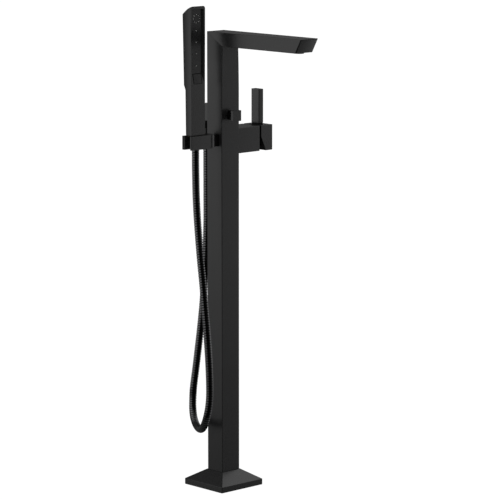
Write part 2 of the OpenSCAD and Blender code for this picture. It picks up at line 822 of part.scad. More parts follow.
module diverter_stem() {
    rim_r = chamber_r - 2 * fit;
    piston_end = piston_y + piston_t;
    color(steel) {
        y_rod(knob_front + knob_t - stem_into_knob, piston_y, 0, diverter_z, div_stem_r);
        y_rod(piston_y, piston_end, 0, diverter_z, piston_core_r);
        y_rod(piston_y, piston_y + piston_rim, 0, diverter_z, rim_r);
        y_rod(piston_end - piston_rim, piston_end, 0, diverter_z, rim_r);
    }
}

module diverter_seal() {
    low_y = piston_y + piston_rim + fit;
    high_y = piston_y + piston_t - piston_rim - fit;
    color(rubber) difference() {
        y_rod(low_y, high_y, 0, diverter_z, chamber_r - fit);
        y_rod(low_y - cut, high_y + cut, 0, diverter_z, piston_core_r + fit);
    }
}

module diverter_knob() {
    back_y = knob_front + knob_t;
    color(matt_black) difference() {
        translate([0, back_y, diverter_z]) rotate([90, 0, 0]) slab(knob_w, knob_h, knob_t, knob_edge);
        y_rod(back_y - stem_into_knob, back_y + cut, 0, diverter_z, div_stem_r + fit);
    }
}

// Outlet at the back

module elbow_stud() {
    color(brass) difference() {
        y_rod(manifold_back - stud_socket, col_back + stud_socket, 0, diverter_z, port_r - fit);
        y_rod(manifold_back - stud_socket - cut, col_back + stud_socket + cut, 0, diverter_z, way_r);
    }
}

module outlet_elbow() {
    color(matt_black) difference() {
        translate([0, col_back + elbow_d / 2, elbow_z]) slab(elbow_w, elbow_d, elbow_h, elbow_edge);
        y_rod(col_back - cut, outlet_y, 0, diverter_z, way_r);
        y_rod(col_back - cut, col_back + stud_socket, 0, diverter_z, port_r);
        z_rod(elbow_z - cut, diverter_z, 0, outlet_y, way_r);
        z_rod(elbow_z - cut, elbow_z + nipple_spigot, 0, outlet_y, nipple_neck_r + fit);
    }
}

module outlet_nipple() {
    seat_z = outlet_hose_z + nut_floor + washer_t;
    color(dark_black) difference() {
        union() {
            z_rod(elbow_z - nipple_h, elbow_z, 0, outlet_y, nipple_r);
            z_rod(seat_z, elbow_z + nipple_spigot, 0, outlet_y, nipple_neck_r);
        }
        z_rod(seat_z - cut, elbow_z + nipple_spigot + cut, 0, outlet_y, washer_bore_r);
    }
}

module outlet_nut() {
    color(matt_black) difference() {
        union() {
            translate([0, outlet_y, outlet_hose_z])
                cylinder(h = outlet_nut_cone, r1 = hose_d / 2 + nut_edge, r2 = outlet_nut_r);
            z_rod(outlet_hose_z + outlet_nut_cone, outlet_hose_z + outlet_nut_h, 0, outlet_y, outlet_nut_r);
        }
        z_rod(outlet_hose_z + nut_floor, outlet_hose_z + outlet_nut_h + cut, 0, outlet_y,
            nipple_neck_r + fit);
        z_rod(outlet_hose_z - cut, outlet_hose_z + outlet_nut_h, 0, outlet_y, washer_bore_r);
    }
}

module outlet_washer() {
    hose_washer(outlet_hose_z + nut_floor, 0, outlet_y, nipple_neck_r, washer_bore_r);
}

module hose_washer(z, x, y, r, bore_r) {
    color(rubber) difference() {
        z_rod(z, z + washer_t, x, y, r);
        z_rod(z - cut, z + washer_t + cut, x, y, bore_r);
    }
}

// Holder

module holder_neck() {
    color(dark_black) difference() {
        x_bar(neck_x, -col_side, stud_y, holder_z, neck_w, neck_h, fork_edge);
        x_rod(neck_x - cut, cut - col_side, stud_y, holder_z, stud_r + fit);
    }
}

module holder_screw() {
    color(steel)
        x_rod(fork_x - fork_bite, holder_bite + manifold_gap - bore_half_w, stud_y, holder_z, stud_r);
}

// Rounded towards the column and flat towards the fork
module holder_collar() {
    r = collar_round;
    mid_y = holder_front + fork_d / 2;
    color(matt_black) difference() {
        translate([0, mid_y, fork_low_z]) linear_extrude(fork_h) polygon([
            [collar_x, -fork_d / 2],
            for (a = [-90:15:0]) [neck_x - r + r * cos(a), r - fork_d / 2 + r * sin(a)],
            for (a = [0:15:90]) [neck_x - r + r * cos(a), fork_d / 2 - r + r * sin(a)],
            [collar_x, fork_d / 2]]);
        x_rod(collar_x - cut, neck_x + cut, stud_y, holder_z, stud_r + fit);
    }
}

module holder_gasket() {
    color(rubber) difference() {
        x_bar(fork_x, collar_x, holder_y, holder_z,
            fork_d - 2 * fork_edge, fork_h - 2 * fork_edge, fork_edge);
        x_rod(fork_x - cut, collar_x + cut, stud_y, holder_z, stud_r + fit);
    }
}

module holder_fork() {
    color(matt_black) difference() {
        translate([fork_end_x + fork_len / 2, holder_y, fork_low_z])
            slab(fork_len, fork_d, fork_h, fork_edge);
        block(fork_end_x - cut, hand_x, slot_y - slot_w / 2, slot_y + slot_w / 2,
            fork_low_z - cut, fork_top_z + cut);
        z_rod(fork_low_z - cut, fork_top_z + cut, hand_x, slot_y, slot_w / 2);
        x_rod(fork_x - fork_bite, fork_x + cut, stud_y, holder_z, stud_r + fit);
    }
}

// Hand shower

trough_half = (hand_w_top + hand_w_low) / 4 - lip_w;
floor_half = trough_half - trough_slope;
floor_y = hand_front + trough_depth;
face_low_z = hand_low_z + trough_low;
face_high_z = hand_top_z - trough_top;
button_mid_z = hand_low_z + (button_low + button_high) / 2;

// Seen from the side: a slim handle that steps out behind, under a top that slopes forward
module hand_side() {
    back_z = hand_top_z - hand_slope;
    polygon([
        [hand_front, hand_low_z], [hand_front + hand_d_low, hand_low_z],
        [hand_front + step_d_low, hand_low_z + step_low],
        [hand_front + step_d_high, hand_low_z + step_high],
        for (t = [0:0.125:1])
            [hand_front + hand_d_top * (1 - t), back_z + hand_slope * t + 4 * hand_bulge * t * (1 - t)]]);
}

// Seen from the front: a little wider at the top, with rounded top corners
module hand_outline() {
    r = hand_corner;
    side = hand_w_top / 2 - r;
    polygon([
        [-hand_w_low / 2, hand_low_z], [hand_w_low / 2, hand_low_z],
        for (a = [0:15:90]) [side + r * cos(a), hand_top_z - r + r * sin(a)],
        for (a = [90:15:180]) [r * cos(a) - side, hand_top_z - r + r * sin(a)]]);
}

// The hollow in the front, with sloping sides and a ramp at its lower end
module hand_trough() {
    half = trough_half + trough_slope * cut / trough_depth;
    section = [[-half, hand_front - cut], [half, hand_front - cut],
        [floor_half, floor_y], [-floor_half, floor_y]];
    ramp_top_z = hand_low_z + button_high;
    ramp_low_z = hand_low_z + button_low;
    translate([0, 0, ramp_top_z]) linear_extrude(face_high_z - ramp_top_z) polygon(section);
    loft([
        [for (p = section) [p[0], hand_front - (p[1] > hand_front ? 0 : cut), ramp_low_z]],
        [for (p = section) [p[0], p[1], ramp_top_z]]]);
}

// Places of the nozzles on the face, as [x, z]
nozzle_places = [
    for (k = [0:ring_count - 1]) let(a = 360 * k / ring_count)
        [ring_r * cos(a), hand_top_z - ring_drop + ring_r * sin(a)],
    for (share = row_shares) [0, face_high_z - share * (face_high_z - face_low_z)]];

module nozzle_rods(r, y0, y1) { for (p = nozzle_places) y_rod(y0, y1, p[0], p[1], r); }

module handset_shell() {
    plate_y = floor_y + face_t;
    pocket_half = button_w / 2 + button_gap;
    pocket_y = hand_front + pocket_depth;
    color(matt_black) translate([hand_x, 0, 0]) difference() {
        intersection() {
            translate([-hand_w_top, 0, 0]) rotate([90, 0, 90]) linear_extrude(2 * hand_w_top) hand_side();
            translate([0, hand_front + hand_w_top, 0]) rotate([90, 0, 0])
                linear_extrude(2 * hand_w_top) hand_outline();
        }
        hand_trough();
        block(-floor_half, floor_half, hand_front, plate_y, face_low_z, face_high_z);
        block(chamber_in - floor_half, floor_half - chamber_in, floor_y, plate_y + chamber_back,
            face_low_z + chamber_in, face_high_z - chamber_in);
        block(-pocket_half, pocket_half, hand_front - cut, pocket_y,
            hand_low_z + button_low, hand_low_z + button_high);
        y_rod(hand_front, pocket_y + spring_pocket, 0, button_mid_z, spring_r + seat);
        y_rod(hand_front, hand_front + button_back + plunger_len + button_travel + seat, 0, button_mid_z,
            plunger_r + fit);
        z_rod(hand_low_z - cut, hand_low_z + spigot_in, 0, slot_y, spigot_r + fit);
        z_rod(hand_low_z, hand_low_z + water_len, 0, slot_y, water_r + fit);
    }
}

module spray_face() {
    half = floor_half - face_gap;
    color(dark_black) translate([hand_x, 0, 0]) difference() {
        block(-half, half, floor_y, floor_y + face_t, face_low_z + face_gap, face_high_z - face_gap);
        nozzle_rods(nozzle_r + fit, floor_y - cut, floor_y + face_t + cut);
    }
}

module nozzle_mat() {
    half = floor_half - chamber_in - face_gap;
    plate_y = floor_y + face_t;
    color(rubber) translate([hand_x, 0, 0]) {
        block(-half, half, plate_y, plate_y + mat_t,
            face_low_z + chamber_in + face_gap, face_high_z - chamber_in - face_gap);
        nozzle_rods(nozzle_r, floor_y - nozzle_out, plate_y + mat_t);
    }
}

module spray_button() {
    low_z = hand_low_z + button_low + button_gap;
    high_z = hand_low_z + button_high - button_gap;
    back_y = hand_front + button_back;
    color(matt_black) translate([hand_x, 0, 0]) {
        translate([-button_w / 2, 0, 0]) rotate([90, 0, 90]) linear_extrude(button_w) polygon([
            [hand_front + button_lift, low_z], [back_y, low_z],
            [back_y, high_z], [hand_front + button_sink, high_z]]);
        y_rod(back_y - cut, back_y + plunger_len, 0, button_mid_z, plunger_r);
    }
}

module button_spring() {
    back_y = hand_front + button_back;
    end_y = hand_front + pocket_depth + spring_pocket;
    color(steel) translate([hand_x, 0, 0]) difference() {
        y_rod(back_y, end_y, 0, button_mid_z, spring_r);
        y_rod(back_y - cut, end_y + cut, 0, button_mid_z, spring_bore_r);
    }
}

module handset_foot() {
    color(rubber) difference() {
        translate([hand_x, slot_y, fork_top_z])
            slab(hand_w_low - 2 * foot_in, hand_d_low - foot_ledge, foot_h, foot_in);
        z_rod(fork_top_z - cut, hand_low_z + cut, hand_x, slot_y, spigot_r + fit);
    }
}

module handset_spigot() {
    low_z = hand_nut_low + nut_floor + washer_t;
    high_z = hand_low_z + spigot_in;
    color(brass) difference() {
        z_rod(low_z, high_z, hand_x, slot_y, spigot_r);
        z_rod(low_z - cut, high_z + cut, hand_x, slot_y, spigot_bore_r);
    }
}

module handset_waterway() {
    color(plastic) difference() {
        z_rod(hand_low_z + spigot_in, hand_low_z + water_len, hand_x, slot_y, water_r);
        z_rod(hand_low_z, hand_low_z + water_len + cut, hand_x, slot_y, water_bore_r);
    }
}

module handset_nut() {
    color(matt_black) difference() {
        z_rod(hand_nut_low, hand_nut_top, hand_x, slot_y, hand_nut_r);
        z_rod(hand_nut_low + nut_floor, hand_nut_top + cut, hand_x, slot_y, spigot_r + fit);
        z_rod(hand_nut_low - cut, hand_nut_top, hand_x, slot_y, hand_washer_bore_r);
    }
}

module handset_washer() {
    hose_washer(hand_nut_low + nut_floor, hand_x, slot_y, spigot_r, hand_washer_bore_r);
}

// Hose: a smooth curve through the route's points, with the distance along it as its measure

last_point = len(hose_route) - 1;

function unit(v) = v / norm(v);

function run_to(i) = i == 0 ? 0 : run_to(i - 1) + norm(hose_route[i] - hose_route[i - 1]);

hose_runs = [for (i = [0:last_point]) run_to(i)];
hose_len = hose_runs[last_point];

function slope_at(i) =
    let(a = max(i - 1, 0), b = min(i + 1, last_point))
    (hose_route[b] - hose_route[a]) / (hose_runs[b] - hose_runs[a]);

function hose_point(s) =
    let(i = min(max(len([for (r = hose_runs) if (r <= s) r]) - 1, 0), last_point - 1),
        h = hose_runs[i + 1] - hose_runs[i], t = (s - hose_runs[i]) / h,
        a = slope_at(i) * h, b = slope_at(i + 1) * h)
    (2 * t ^ 3 - 3 * t ^ 2 + 1) * hose_route[i] + (t ^ 3 - 2 * t ^ 2 + t) * a
    + (3 * t ^ 2 - 2 * t ^ 3) * hose_route[i + 1] + (t ^ 3 - t ^ 2) * b;

function hose_ring(s, r) =
    let(ahead = unit(hose_point(min(s + hose_probe, hose_len)) - hose_point(max(s - hose_probe, 0))),
        across = unit(cross(hose_side, ahead)), up = cross(ahead, across))
    [for (k = [0:hose_sides - 1]) let(a = 360 * k / hose_sides)
        hose_point(s) + r * (cos(a) * across + sin(a) * up)];

// The quads between rings of a tube, as triangles; first is the number of its first point
function tube_faces(first, rings, outward) = [
    for (k = [0:rings - 2], i = [0:hose_sides - 1])
        let(j = (i + 1) % hose_sides, a = first + k * hose_sides, n = hose_sides,
            one = [a + j, a + i, a + n + j], two = [a + n + j, a + i, a + n + i])
        each outward ? [one, two] : [[one[2], one[1], one[0]], [two[2], two[1], two[0]]]];

function end_faces(outer, inner, at_start) = [
    for (i = [0:hose_sides - 1])
        let(j = (i + 1) % hose_sides,
            one = [outer + i, outer + j, inner + j], two = [outer + i, inner + j, inner + i])
        each at_start ? [one, two] : [[one[2], one[1], one[0]], [two[2], two[1], two[0]]]];

module hose() {
    half_ribs = 2 * hose_ribs;
    bores = floor(half_ribs / bore_step);
    outer = [for (k = [0:half_ribs])
        hose_ring(hose_len * k / half_ribs, hose_d / 2 - (k % 2 == 1 ? rib_h : 0))];
    inner = [for (k = [0:bores]) hose_ring(hose_len * k / bores, hose_bore_d / 2)];
    first = len(outer) * hose_sides;
    color(matt_black) polyhedron(
        points = [for (ring = outer) each ring, for (ring = inner) each ring],
        faces = concat(
            tube_faces(0, len(outer), true), tube_faces(first, len(inner), false),
            end_faces(0, first, true),
            end_faces(first - hose_sides, first + (len(inner) - 1) * hose_sides, false)),
        convexity = 20);
    samples = [for (k = [0:gap_samples]) hose_point(hose_len * k / gap_samples)];
    gaps = [for (i = [0:gap_samples], j = [0:gap_samples])
        if (j - i > near_share * gap_samples) norm(samples[i] - samples[j]) - hose_d];
    echo(hose_length = hose_len, least_gap_to_itself = min(gaps));
}

floor_flange();
collar_screws();
hot_inlet();
cold_inlet();
base_cover();
base_seal();
hot_pipe();
cold_pipe();
column();
manifold();
riser_tube();
spout();
spout_end_plate();
aerator_socket();
aerator_washer();
aerator_housing();
aerator_screen();
valve_cover();
valve_end_plate();
valve_core();
cartridge_seal();
cartridge();
bonnet();
rotor();
pivot_pin();
handle_stem();
handle_block();
handle_screw();
lever();
lever_gasket();
diverter_bush();
diverter_collar();
diverter_stem();
diverter_seal();
diverter_knob();
elbow_stud();
outlet_elbow();
outlet_nipple();
outlet_washer();
outlet_nut();
holder_neck();
holder_screw();
holder_collar();
holder_gasket();
holder_fork();
handset_shell();
spray_face();
nozzle_mat();
spray_button();
button_spring();
handset_foot();
handset_spigot();
handset_waterway();
handset_washer();
handset_nut();
hose();
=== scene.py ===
"""Looks of a floor standing bath filler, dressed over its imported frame.

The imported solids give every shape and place. This script rounds their edges as a
coat of paint does, winds the ribbed hose, adds the fine pieces of the hand shower
and the spout, and lights it all in a pale studio.
"""

from __future__ import annotations

import logging
import math
from collections.abc import Callable
from dataclasses import dataclass, field, replace
from enum import Enum
from itertools import zip_longest

import bpy
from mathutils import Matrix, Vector

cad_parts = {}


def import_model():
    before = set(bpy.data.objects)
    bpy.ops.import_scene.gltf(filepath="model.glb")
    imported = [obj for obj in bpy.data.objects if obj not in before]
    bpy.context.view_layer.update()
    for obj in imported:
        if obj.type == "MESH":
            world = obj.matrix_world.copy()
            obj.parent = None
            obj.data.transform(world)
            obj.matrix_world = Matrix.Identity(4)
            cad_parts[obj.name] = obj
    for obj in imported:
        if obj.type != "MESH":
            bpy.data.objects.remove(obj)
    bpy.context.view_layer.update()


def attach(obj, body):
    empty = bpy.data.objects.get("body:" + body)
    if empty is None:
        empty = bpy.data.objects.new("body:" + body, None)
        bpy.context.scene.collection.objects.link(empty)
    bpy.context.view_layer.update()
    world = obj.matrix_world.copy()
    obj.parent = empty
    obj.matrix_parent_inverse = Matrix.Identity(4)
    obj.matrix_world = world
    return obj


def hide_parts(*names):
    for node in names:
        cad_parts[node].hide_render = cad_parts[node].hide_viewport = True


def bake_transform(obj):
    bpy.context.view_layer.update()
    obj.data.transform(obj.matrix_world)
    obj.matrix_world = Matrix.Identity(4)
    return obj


LOG = logging.getLogger("bath_filler")
Number = float | int

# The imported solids, in metres and degrees
WELD = 2e-6  # between points that are one point
COPLANAR = 0.4  # between faces that are one flat face
SHARP = 24  # from which an edge is rounded
SMOOTH = 30  # up to which a shaded edge looks round
FLATTEN = 100  # how much the large faces rule the shading of their edges
FACING = 0.9  # cosine of the widest angle at which a face still looks a certain way


class Body(Enum):
    """The bodies that carry the new pieces."""

    ROOT = "root"
    HANDLE = "handle"
    DIVERTER = "diverter"
    HANDSET = "handset"
    BUTTON = "button"


class Slot(Enum):
    """The record's finishes, passed along with each new piece but not given to it."""

    PAINT = "black_paint"
    TRIM = "dark_trim"
    STEEL = "steel"
    PLASTIC = "plastic"
    HOSE = "hose_cover"


class Axis(Enum):
    """The world's axes that round pieces are drawn along."""

    Y = (0, 1, 0)
    Z = (0, 0, 1)

    @property
    def vector(self) -> Vector:
        """The axis as a direction."""
        return Vector(self.value)

    @property
    def turn(self) -> tuple[float, float, float]:
        """The turn that points a ring's own axis this way."""
        return tuple(Vector((0, 0, 1)).rotation_difference(self.vector).to_euler())


class Way(Enum):
    """The ways that a face may look, with the spout in front."""

    LEFT = (-1, 0, 0)
    RIGHT = (1, 0, 0)
    FRONT = (0, -1, 0)
    UP = (0, 0, 1)
    DOWN = (0, 0, -1)


# Shader sums


class Wire:
    """An output socket that adds, subtracts and multiplies as a number does."""

    def __init__(self, tree: bpy.types.NodeTree, socket: bpy.types.NodeSocket) -> None:
        """Keeps the socket and the tree that it lies in.

        Args:
            tree: The node tree of the socket.
            socket: The output socket.
        """
        self.tree = tree
        self.socket = socket

    def _math(self, operation: str, *values: Wire | Number) -> Wire:
        """Adds a Math node.

        Args:
            operation: The node's operation.
            values: What its inputs hold.

        Returns:
            The node's output.
        """
        node = self.tree.nodes.new("ShaderNodeMath")
        node.operation = operation
        for socket, value in zip(node.inputs, values):
            if isinstance(value, Wire):
                self.tree.links.new(value.socket, socket)
            else:
                socket.default_value = value
        return Wire(self.tree, node.outputs[0])

    def __add__(self, other: Wire | Number) -> Wire:
        """Returns the sum."""
        return self._math("ADD", self, other)

    def __sub__(self, other: Wire | Number) -> Wire:
        """Returns the difference."""
        return self._math("SUBTRACT", self, other)

    def __rsub__(self, other: Wire | Number) -> Wire:
        """Returns the difference the other way round."""
        return self._math("SUBTRACT", other, self)

    def __mul__(self, other: Wire | Number) -> Wire:
        """Returns the product."""
        return self._math("MULTIPLY", self, other)

    __radd__ = __add__
    __rmul__ = __mul__

    def rise(self, low: Number, high: Number) -> Wire:
        """Goes from 0 at low to 1 at high, and stays there.

        Args:
            low: Where it starts to rise.
            high: Where it ends.

        Returns:
            The clamped share of the way.
        """
        node = self.tree.nodes.new("ShaderNodeMapRange")
        node.interpolation_type = "SMOOTHSTEP"
        self.tree.links.new(self.socket, node.inputs["Value"])
        node.inputs["From Min"].default_value = low
        node.inputs["From Max"].default_value = high
        return Wire(self.tree, node.outputs["Result"])


class Palette:
    """Adds nodes to one tree."""

    def __init__(self, tree: bpy.types.NodeTree) -> None:
        """Clears the tree and keeps it.

        Args:
            tree: A material's or the world's node tree.
        """
        self.tree = tree
        tree.nodes.clear()

    def node(
        self,
        kind: str,
        settings: dict[str, object] | None = None,
        output: int | str = 0,
        **values: object,
    ) -> Wire:
        """Adds a node.

        Args:
            kind: The node's type.
            settings: Its properties, set before its sockets.
            output: Which output comes back.
            values: Values or wires for its inputs, spaces written as underscores.

        Returns:
            The output as a wire.
        """
        made = self.tree.nodes.new(kind)
        for name, value in (settings or {}).items():
            setattr(made, name, value)
        for name, value in values.items():
            socket = made.inputs[name.replace("_", " ")]
            if isinstance(value, Wire):
                self.tree.links.new(value.socket, socket)
            else:
                socket.default_value = value
        return Wire(self.tree, made.outputs[output])

    def place(self, stretch: tuple[float, float, float] = (1, 1, 1)) -> Wire:
        """Object coordinates, stretched for a grain with a direction.

        Args:
            stretch: The scale along each axis.

        Returns:
            The coordinates.
        """
        where = self.node("ShaderNodeTexCoord", output="Object")
        return self.node("ShaderNodeMapping", Vector=where, Scale=stretch)

    def noise(self, where: Wire, scale: float, detail: float = 2.0) -> Wire:
        """Soft noise round one half.

        Args:
            where: The coordinates.
            scale: Waves in a metre.
            detail: How many finer layers it has.

        Returns:
            The noise's value.
        """
        return self.node(
            "ShaderNodeTexNoise", Vector=where, Scale=scale, Detail=detail, output="Fac"
        )

    def dot(self, where: Wire, direction: tuple[float, float, float]) -> Wire:
        """How far a place lies along a direction.

        Args:
            where: The place.
            direction: The direction.

        Returns:
            Their dot product.
        """
        made = self.node("ShaderNodeVectorMath", {"operation": "DOT_PRODUCT"}, output="Value")
        node = made.socket.node
        self.tree.links.new(where.socket, node.inputs[0])
        node.inputs[1].default_value = direction
        return made

    def blend(self, share: Wire, one: tuple[float, ...], two: tuple[float, ...]) -> Wire:
        """Mixes two colours.

        Args:
            share: How much of the second shows.
            one: The first colour.
            two: The second colour.

        Returns:
            The colour.
        """
        made = self.tree.nodes.new("ShaderNodeMix")
        made.data_type = "RGBA"
        self.tree.links.new(share.socket, made.inputs["Factor"])
        made.inputs["A"].default_value = (*one, 1)
        made.inputs["B"].default_value = (*two, 1)
        colour = next(s for s in made.outputs if s.type == "RGBA" and s.enabled)
        return Wire(self.tree, colour)


@dataclass(frozen=True)
class Finish:
    """One surface finish, with the grain and the wear that it has.

    Sizes of grain and cloud are in metres from one to the next. Dust gathers where both
    are high, from the first level to the second. Lean is the slope along each axis at
    which a polished face mirrors what stands round it, and crown is how fast that slope
    changes on the way out from the middle.
    """

    name: str
    colour: tuple[float, float, float]
    worn: tuple[float, float, float]
    roughness: float
    spread: float = 0.03
    metallic: float = 0.0
    specular: float = 0.5
    grain: float = 0.0011
    depth: float = 0.00003
    stretch: tuple[float, float, float] = (1, 1, 1)
    cloud: float = 0.06
    cloud_detail: float = 4.0
    dust: tuple[float, float] = (0.28, 0.42)
    lean: tuple[float, float, float] = (0, 0, 0)
    crown: tuple[float, float, float] = (0, 0, 0)
    middle: tuple[float, float, float] = (0, 0, 0)

    def material(self) -> bpy.types.Material:
        """Builds the finish's nodes.

        Returns:
            The material.
        """
        material = bpy.data.materials.new(self.name)
        material.use_nodes = True
        add = Palette(material.node_tree)
        where = add.place(self.stretch)
        grain = add.noise(where, 1 / self.grain)
        cloud = add.noise(where, 1 / self.cloud, self.cloud_detail)
        dust = (cloud * grain).rise(*self.dust)
        colour = add.blend(dust, self.colour, self.worn)
        roughness = self.roughness + (cloud - 1 / 2) * self.spread
        height = grain * self.depth
        if any(self.lean) or any(self.crown):
            height = height + self.form(add)
        bump = add.node("ShaderNodeBump", Height=height, Strength=1.0, Distance=1.0)
        shader = add.node(
            "ShaderNodeBsdfPrincipled",
            Base_Color=colour,
            Roughness=roughness,
            Metallic=self.metallic,
            Specular_IOR_Level=self.specular,
            Normal=bump,
        )
        out = add.tree.nodes.new("ShaderNodeOutputMaterial")
        add.tree.links.new(shader.socket, out.inputs["Surface"])
        return material

    def form(self, add: Palette) -> Wire:
        """Adds the slow rise and fall of the face.

        Args:
            add: The finish's tree.

        Returns:
            The height in metres.
        """
        place = add.node("ShaderNodeTexCoord", output="Object")
        away = add.node("ShaderNodeMapping", Vector=place, Location=tuple(-m for m in self.middle))
        square = add.node("ShaderNodeVectorMath", {"operation": "MULTIPLY"}, output="Vector")
        for socket in square.socket.node.inputs[:2]:
            add.tree.links.new(away.socket, socket)
        return add.dot(place, self.lean) - add.dot(square, self.crown)


PAINT = Finish(
    "satin_black_paint",
    (0.0055, 0.0055, 0.0056),
    (0.008, 0.008, 0.0082),
    roughness=0.26,
)
COLUMN_SIDE = replace(
    PAINT, name="satin_black_column_side", roughness=0.32, lean=(0.0, 0.2, 0.0)
)
SPOUT_SIDE = replace(
    PAINT, name="satin_black_spout_side", roughness=0.32, lean=(0.0, 0.13, 0.0)
)
# Partly painted shade: this copy of the paint reflects less, which darkens the left sides of the
# hand shower and the fork; lean and crown are bumps.
HANDSET_SIDE = replace(
    PAINT,
    name="satin_black_handset_side",
    specular=0.34,
    lean=(0.0, -0.2, 0.0),
    crown=(0.0, 4.0, 0.0),
)
HANDSET_FRONT = replace(PAINT, name="satin_black_handset_front", lean=(-0.03, 0.0, 0.0))
# Painted shade: this copy of the paint reflects less, which darkens the lever's front.
LEVER_FRONT = replace(PAINT, name="satin_black_lever_front", specular=0.4)
TRIM = Finish(
    "dark_satin_trim",
    (0.004, 0.004, 0.0041),
    (0.006, 0.006, 0.006),
    roughness=0.36,
    specular=0.35,
    grain=0.0008,
)
TIP_PLATE = replace(
    TRIM,
    name="dark_satin_tip_plate",
    roughness=0.28,
    specular=0.24,
    crown=(2.3, 0.0, 0.0),
    middle=(-0.015, 0.0, 0.0),
)
# Painted shade: near-black colour that barely reflects, put on gaps, grooves, recesses, undersides
# and faces where shade falls.
PAINTED_SHADE = Finish(
    "painted_shade_black",
    (0.0015, 0.0015, 0.0015),
    (0.0022, 0.0022, 0.0022),
    roughness=0.45,
    specular=0.08,
    grain=0.0012,
    depth=0.00001,
)
HOSE_COVER = Finish(
    "black_plated_hose",
    (0.12, 0.12, 0.123),
    (0.14, 0.14, 0.144),
    roughness=0.15,
    metallic=1.0,
    grain=0.0007,
    depth=0.00001,
    cloud=0.02,
)
RUBBER = Finish(
    "soft_rubber",
    (0.004, 0.004, 0.004),
    (0.007, 0.007, 0.007),
    roughness=0.6,
    spread=0.08,
    specular=0.3,
    grain=0.0005,
)
FACE = Finish(
    "spray_face_plastic",
    (0.006, 0.006, 0.0062),
    (0.009, 0.009, 0.0092),
    roughness=0.26,
    grain=0.0006,
    depth=0.00001,
)
SILICONE = Finish(
    "pale_silicone",
    (0.5, 0.5, 0.49),
    (0.42, 0.42, 0.41),
    roughness=0.5,
    grain=0.0003,
    depth=0.00001,
    cloud=0.002,
)
BRASS = Finish(
    "turned_brass",
    (0.62, 0.42, 0.16),
    (0.45, 0.28, 0.1),
    roughness=0.28,
    spread=0.12,
    metallic=1.0,
    grain=0.0004,
    stretch=(1, 1, 6),
)
STEEL = Finish(
    "brushed_steel",
    (0.52, 0.52, 0.51),
    (0.4, 0.4, 0.39),
    roughness=0.3,
    spread=0.12,
    metallic=1.0,
    grain=0.0004,
    stretch=(6, 1, 1),
)
PLASTIC = Finish(
    "moulded_plastic",
    (0.42, 0.42, 0.4),
    (0.36, 0.36, 0.34),
    roughness=0.45,
    grain=0.0009,
)


class Shelf:
    """Keeps one material for each finish."""

    def __init__(self) -> None:
        """Starts with none."""
        self._made: dict[str, bpy.types.Material] = {}

    def material(self, finish: Finish) -> bpy.types.Material:
        """Builds a finish's material the first time that it is asked for.

        Args:
            finish: The finish.

        Returns:
            The material.
        """
        if finish.name not in self._made:
            self._made[finish.name] = finish.material()
        return self._made[finish.name]

    def coat(self, piece: bpy.types.Object, *finishes: Finish) -> None:
        """Paints a piece's slots in order.

        Args:
            piece: The piece.
            finishes: The finish of each slot, the last also for the slots after it.
        """
        while len(piece.material_slots) < len(finishes):
            piece.data.materials.append(None)
        for slot, finish in zip_longest(piece.material_slots, finishes, fillvalue=finishes[-1]):
            slot.link = "OBJECT"
            slot.material = self.material(finish)

    def coat_faces(
        self, piece: bpy.types.Object, finish: Finish, *ways: Way, least: float = FACING
    ) -> None:
        """Gives the faces that look certain ways a finish of their own.

        Args:
            piece: The piece.
            finish: Their finish.
            ways: The ways.
            least: The cosine of the widest angle between a face's normal and a way.
        """
        piece.data.materials.append(None)
        last = len(piece.material_slots) - 1
        piece.material_slots[last].link = "OBJECT"
        piece.material_slots[last].material = self.material(finish)
        for face in piece.data.polygons:
            if any(face.normal.dot(way.value) > least for way in ways):
                face.material_index = last


# Tools


def pick(*pieces: bpy.types.Object) -> None:
    """Selects these pieces alone and makes the first active.

    Args:
        pieces: The pieces.
    """
    bpy.ops.object.select_all(action="DESELECT")
    for piece in pieces:
        piece.select_set(True)
    bpy.context.view_layer.objects.active = pieces[0]


def even(piece: bpy.types.Object, angle: float = SMOOTH) -> None:
    """Smooths round stretches and keeps flat faces evenly flat.

    Args:
        piece: The piece.
        angle: The sharpest edge that is smoothed, in degrees.
    """
    pick(piece)
    bpy.ops.object.shade_smooth_by_angle(angle=math.radians(angle))
    flat = piece.modifiers.new("even", "WEIGHTED_NORMAL")
    flat.keep_sharp = True
    flat.weight = FLATTEN
    bpy.ops.object.modifier_apply(modifier="even")


def close(piece: bpy.types.Object, gap: float = 1e-6) -> None:
    """Merges doubled points, closes open ends and turns the faces outwards.

    Args:
        piece: The piece.
        gap: How far apart doubled points may be.
    """
    pick(piece)
    bpy.ops.object.mode_set(mode="EDIT")
    bpy.ops.mesh.select_all(action="SELECT")
    bpy.ops.mesh.remove_doubles(threshold=gap)
    bpy.ops.mesh.select_mode(type="VERT")
    bpy.ops.mesh.select_non_manifold(extend=False)
    bpy.ops.mesh.edge_face_add()
    bpy.ops.mesh.select_all(action="SELECT")
    bpy.ops.mesh.normals_make_consistent(inside=False)
    bpy.ops.object.mode_set(mode="OBJECT")


def turned(
    stops: list[tuple[float, float]], sides: int, place: Vector, axis: Axis
) -> bpy.types.Object:
    """Draws a ring and pulls it along an axis, wider or narrower at each stop.

    Args:
        stops: The way along the axis and the radius there, from stop to stop.
        sides: The ring's sides.
        place: Where the way along the axis is zero.
        axis: The axis.

    Returns:
        The round piece, closed at both ends.
    """
    at, size = stops[0]
    along = axis.vector
    bpy.ops.object.select_all(action="DESELECT")
    bpy.ops.mesh.primitive_circle_add(
        vertices=sides, radius=size, location=place + along * at, rotation=axis.turn
    )
    piece = bpy.context.object
    bpy.ops.object.transform_apply(location=True, rotation=True, scale=True)
    bpy.ops.object.mode_set(mode="EDIT")
    bpy.ops.mesh.select_all(action="SELECT")
    for stop, radius in stops[1:]:
        bpy.ops.mesh.extrude_region_move(
            TRANSFORM_OT_translate={"value": along * (stop - at)}
        )
        share = radius / size
        bpy.ops.transform.resize(value=[1 if x else share for x in along])
        at, size = stop, radius
    bpy.ops.object.mode_set(mode="OBJECT")
    return piece


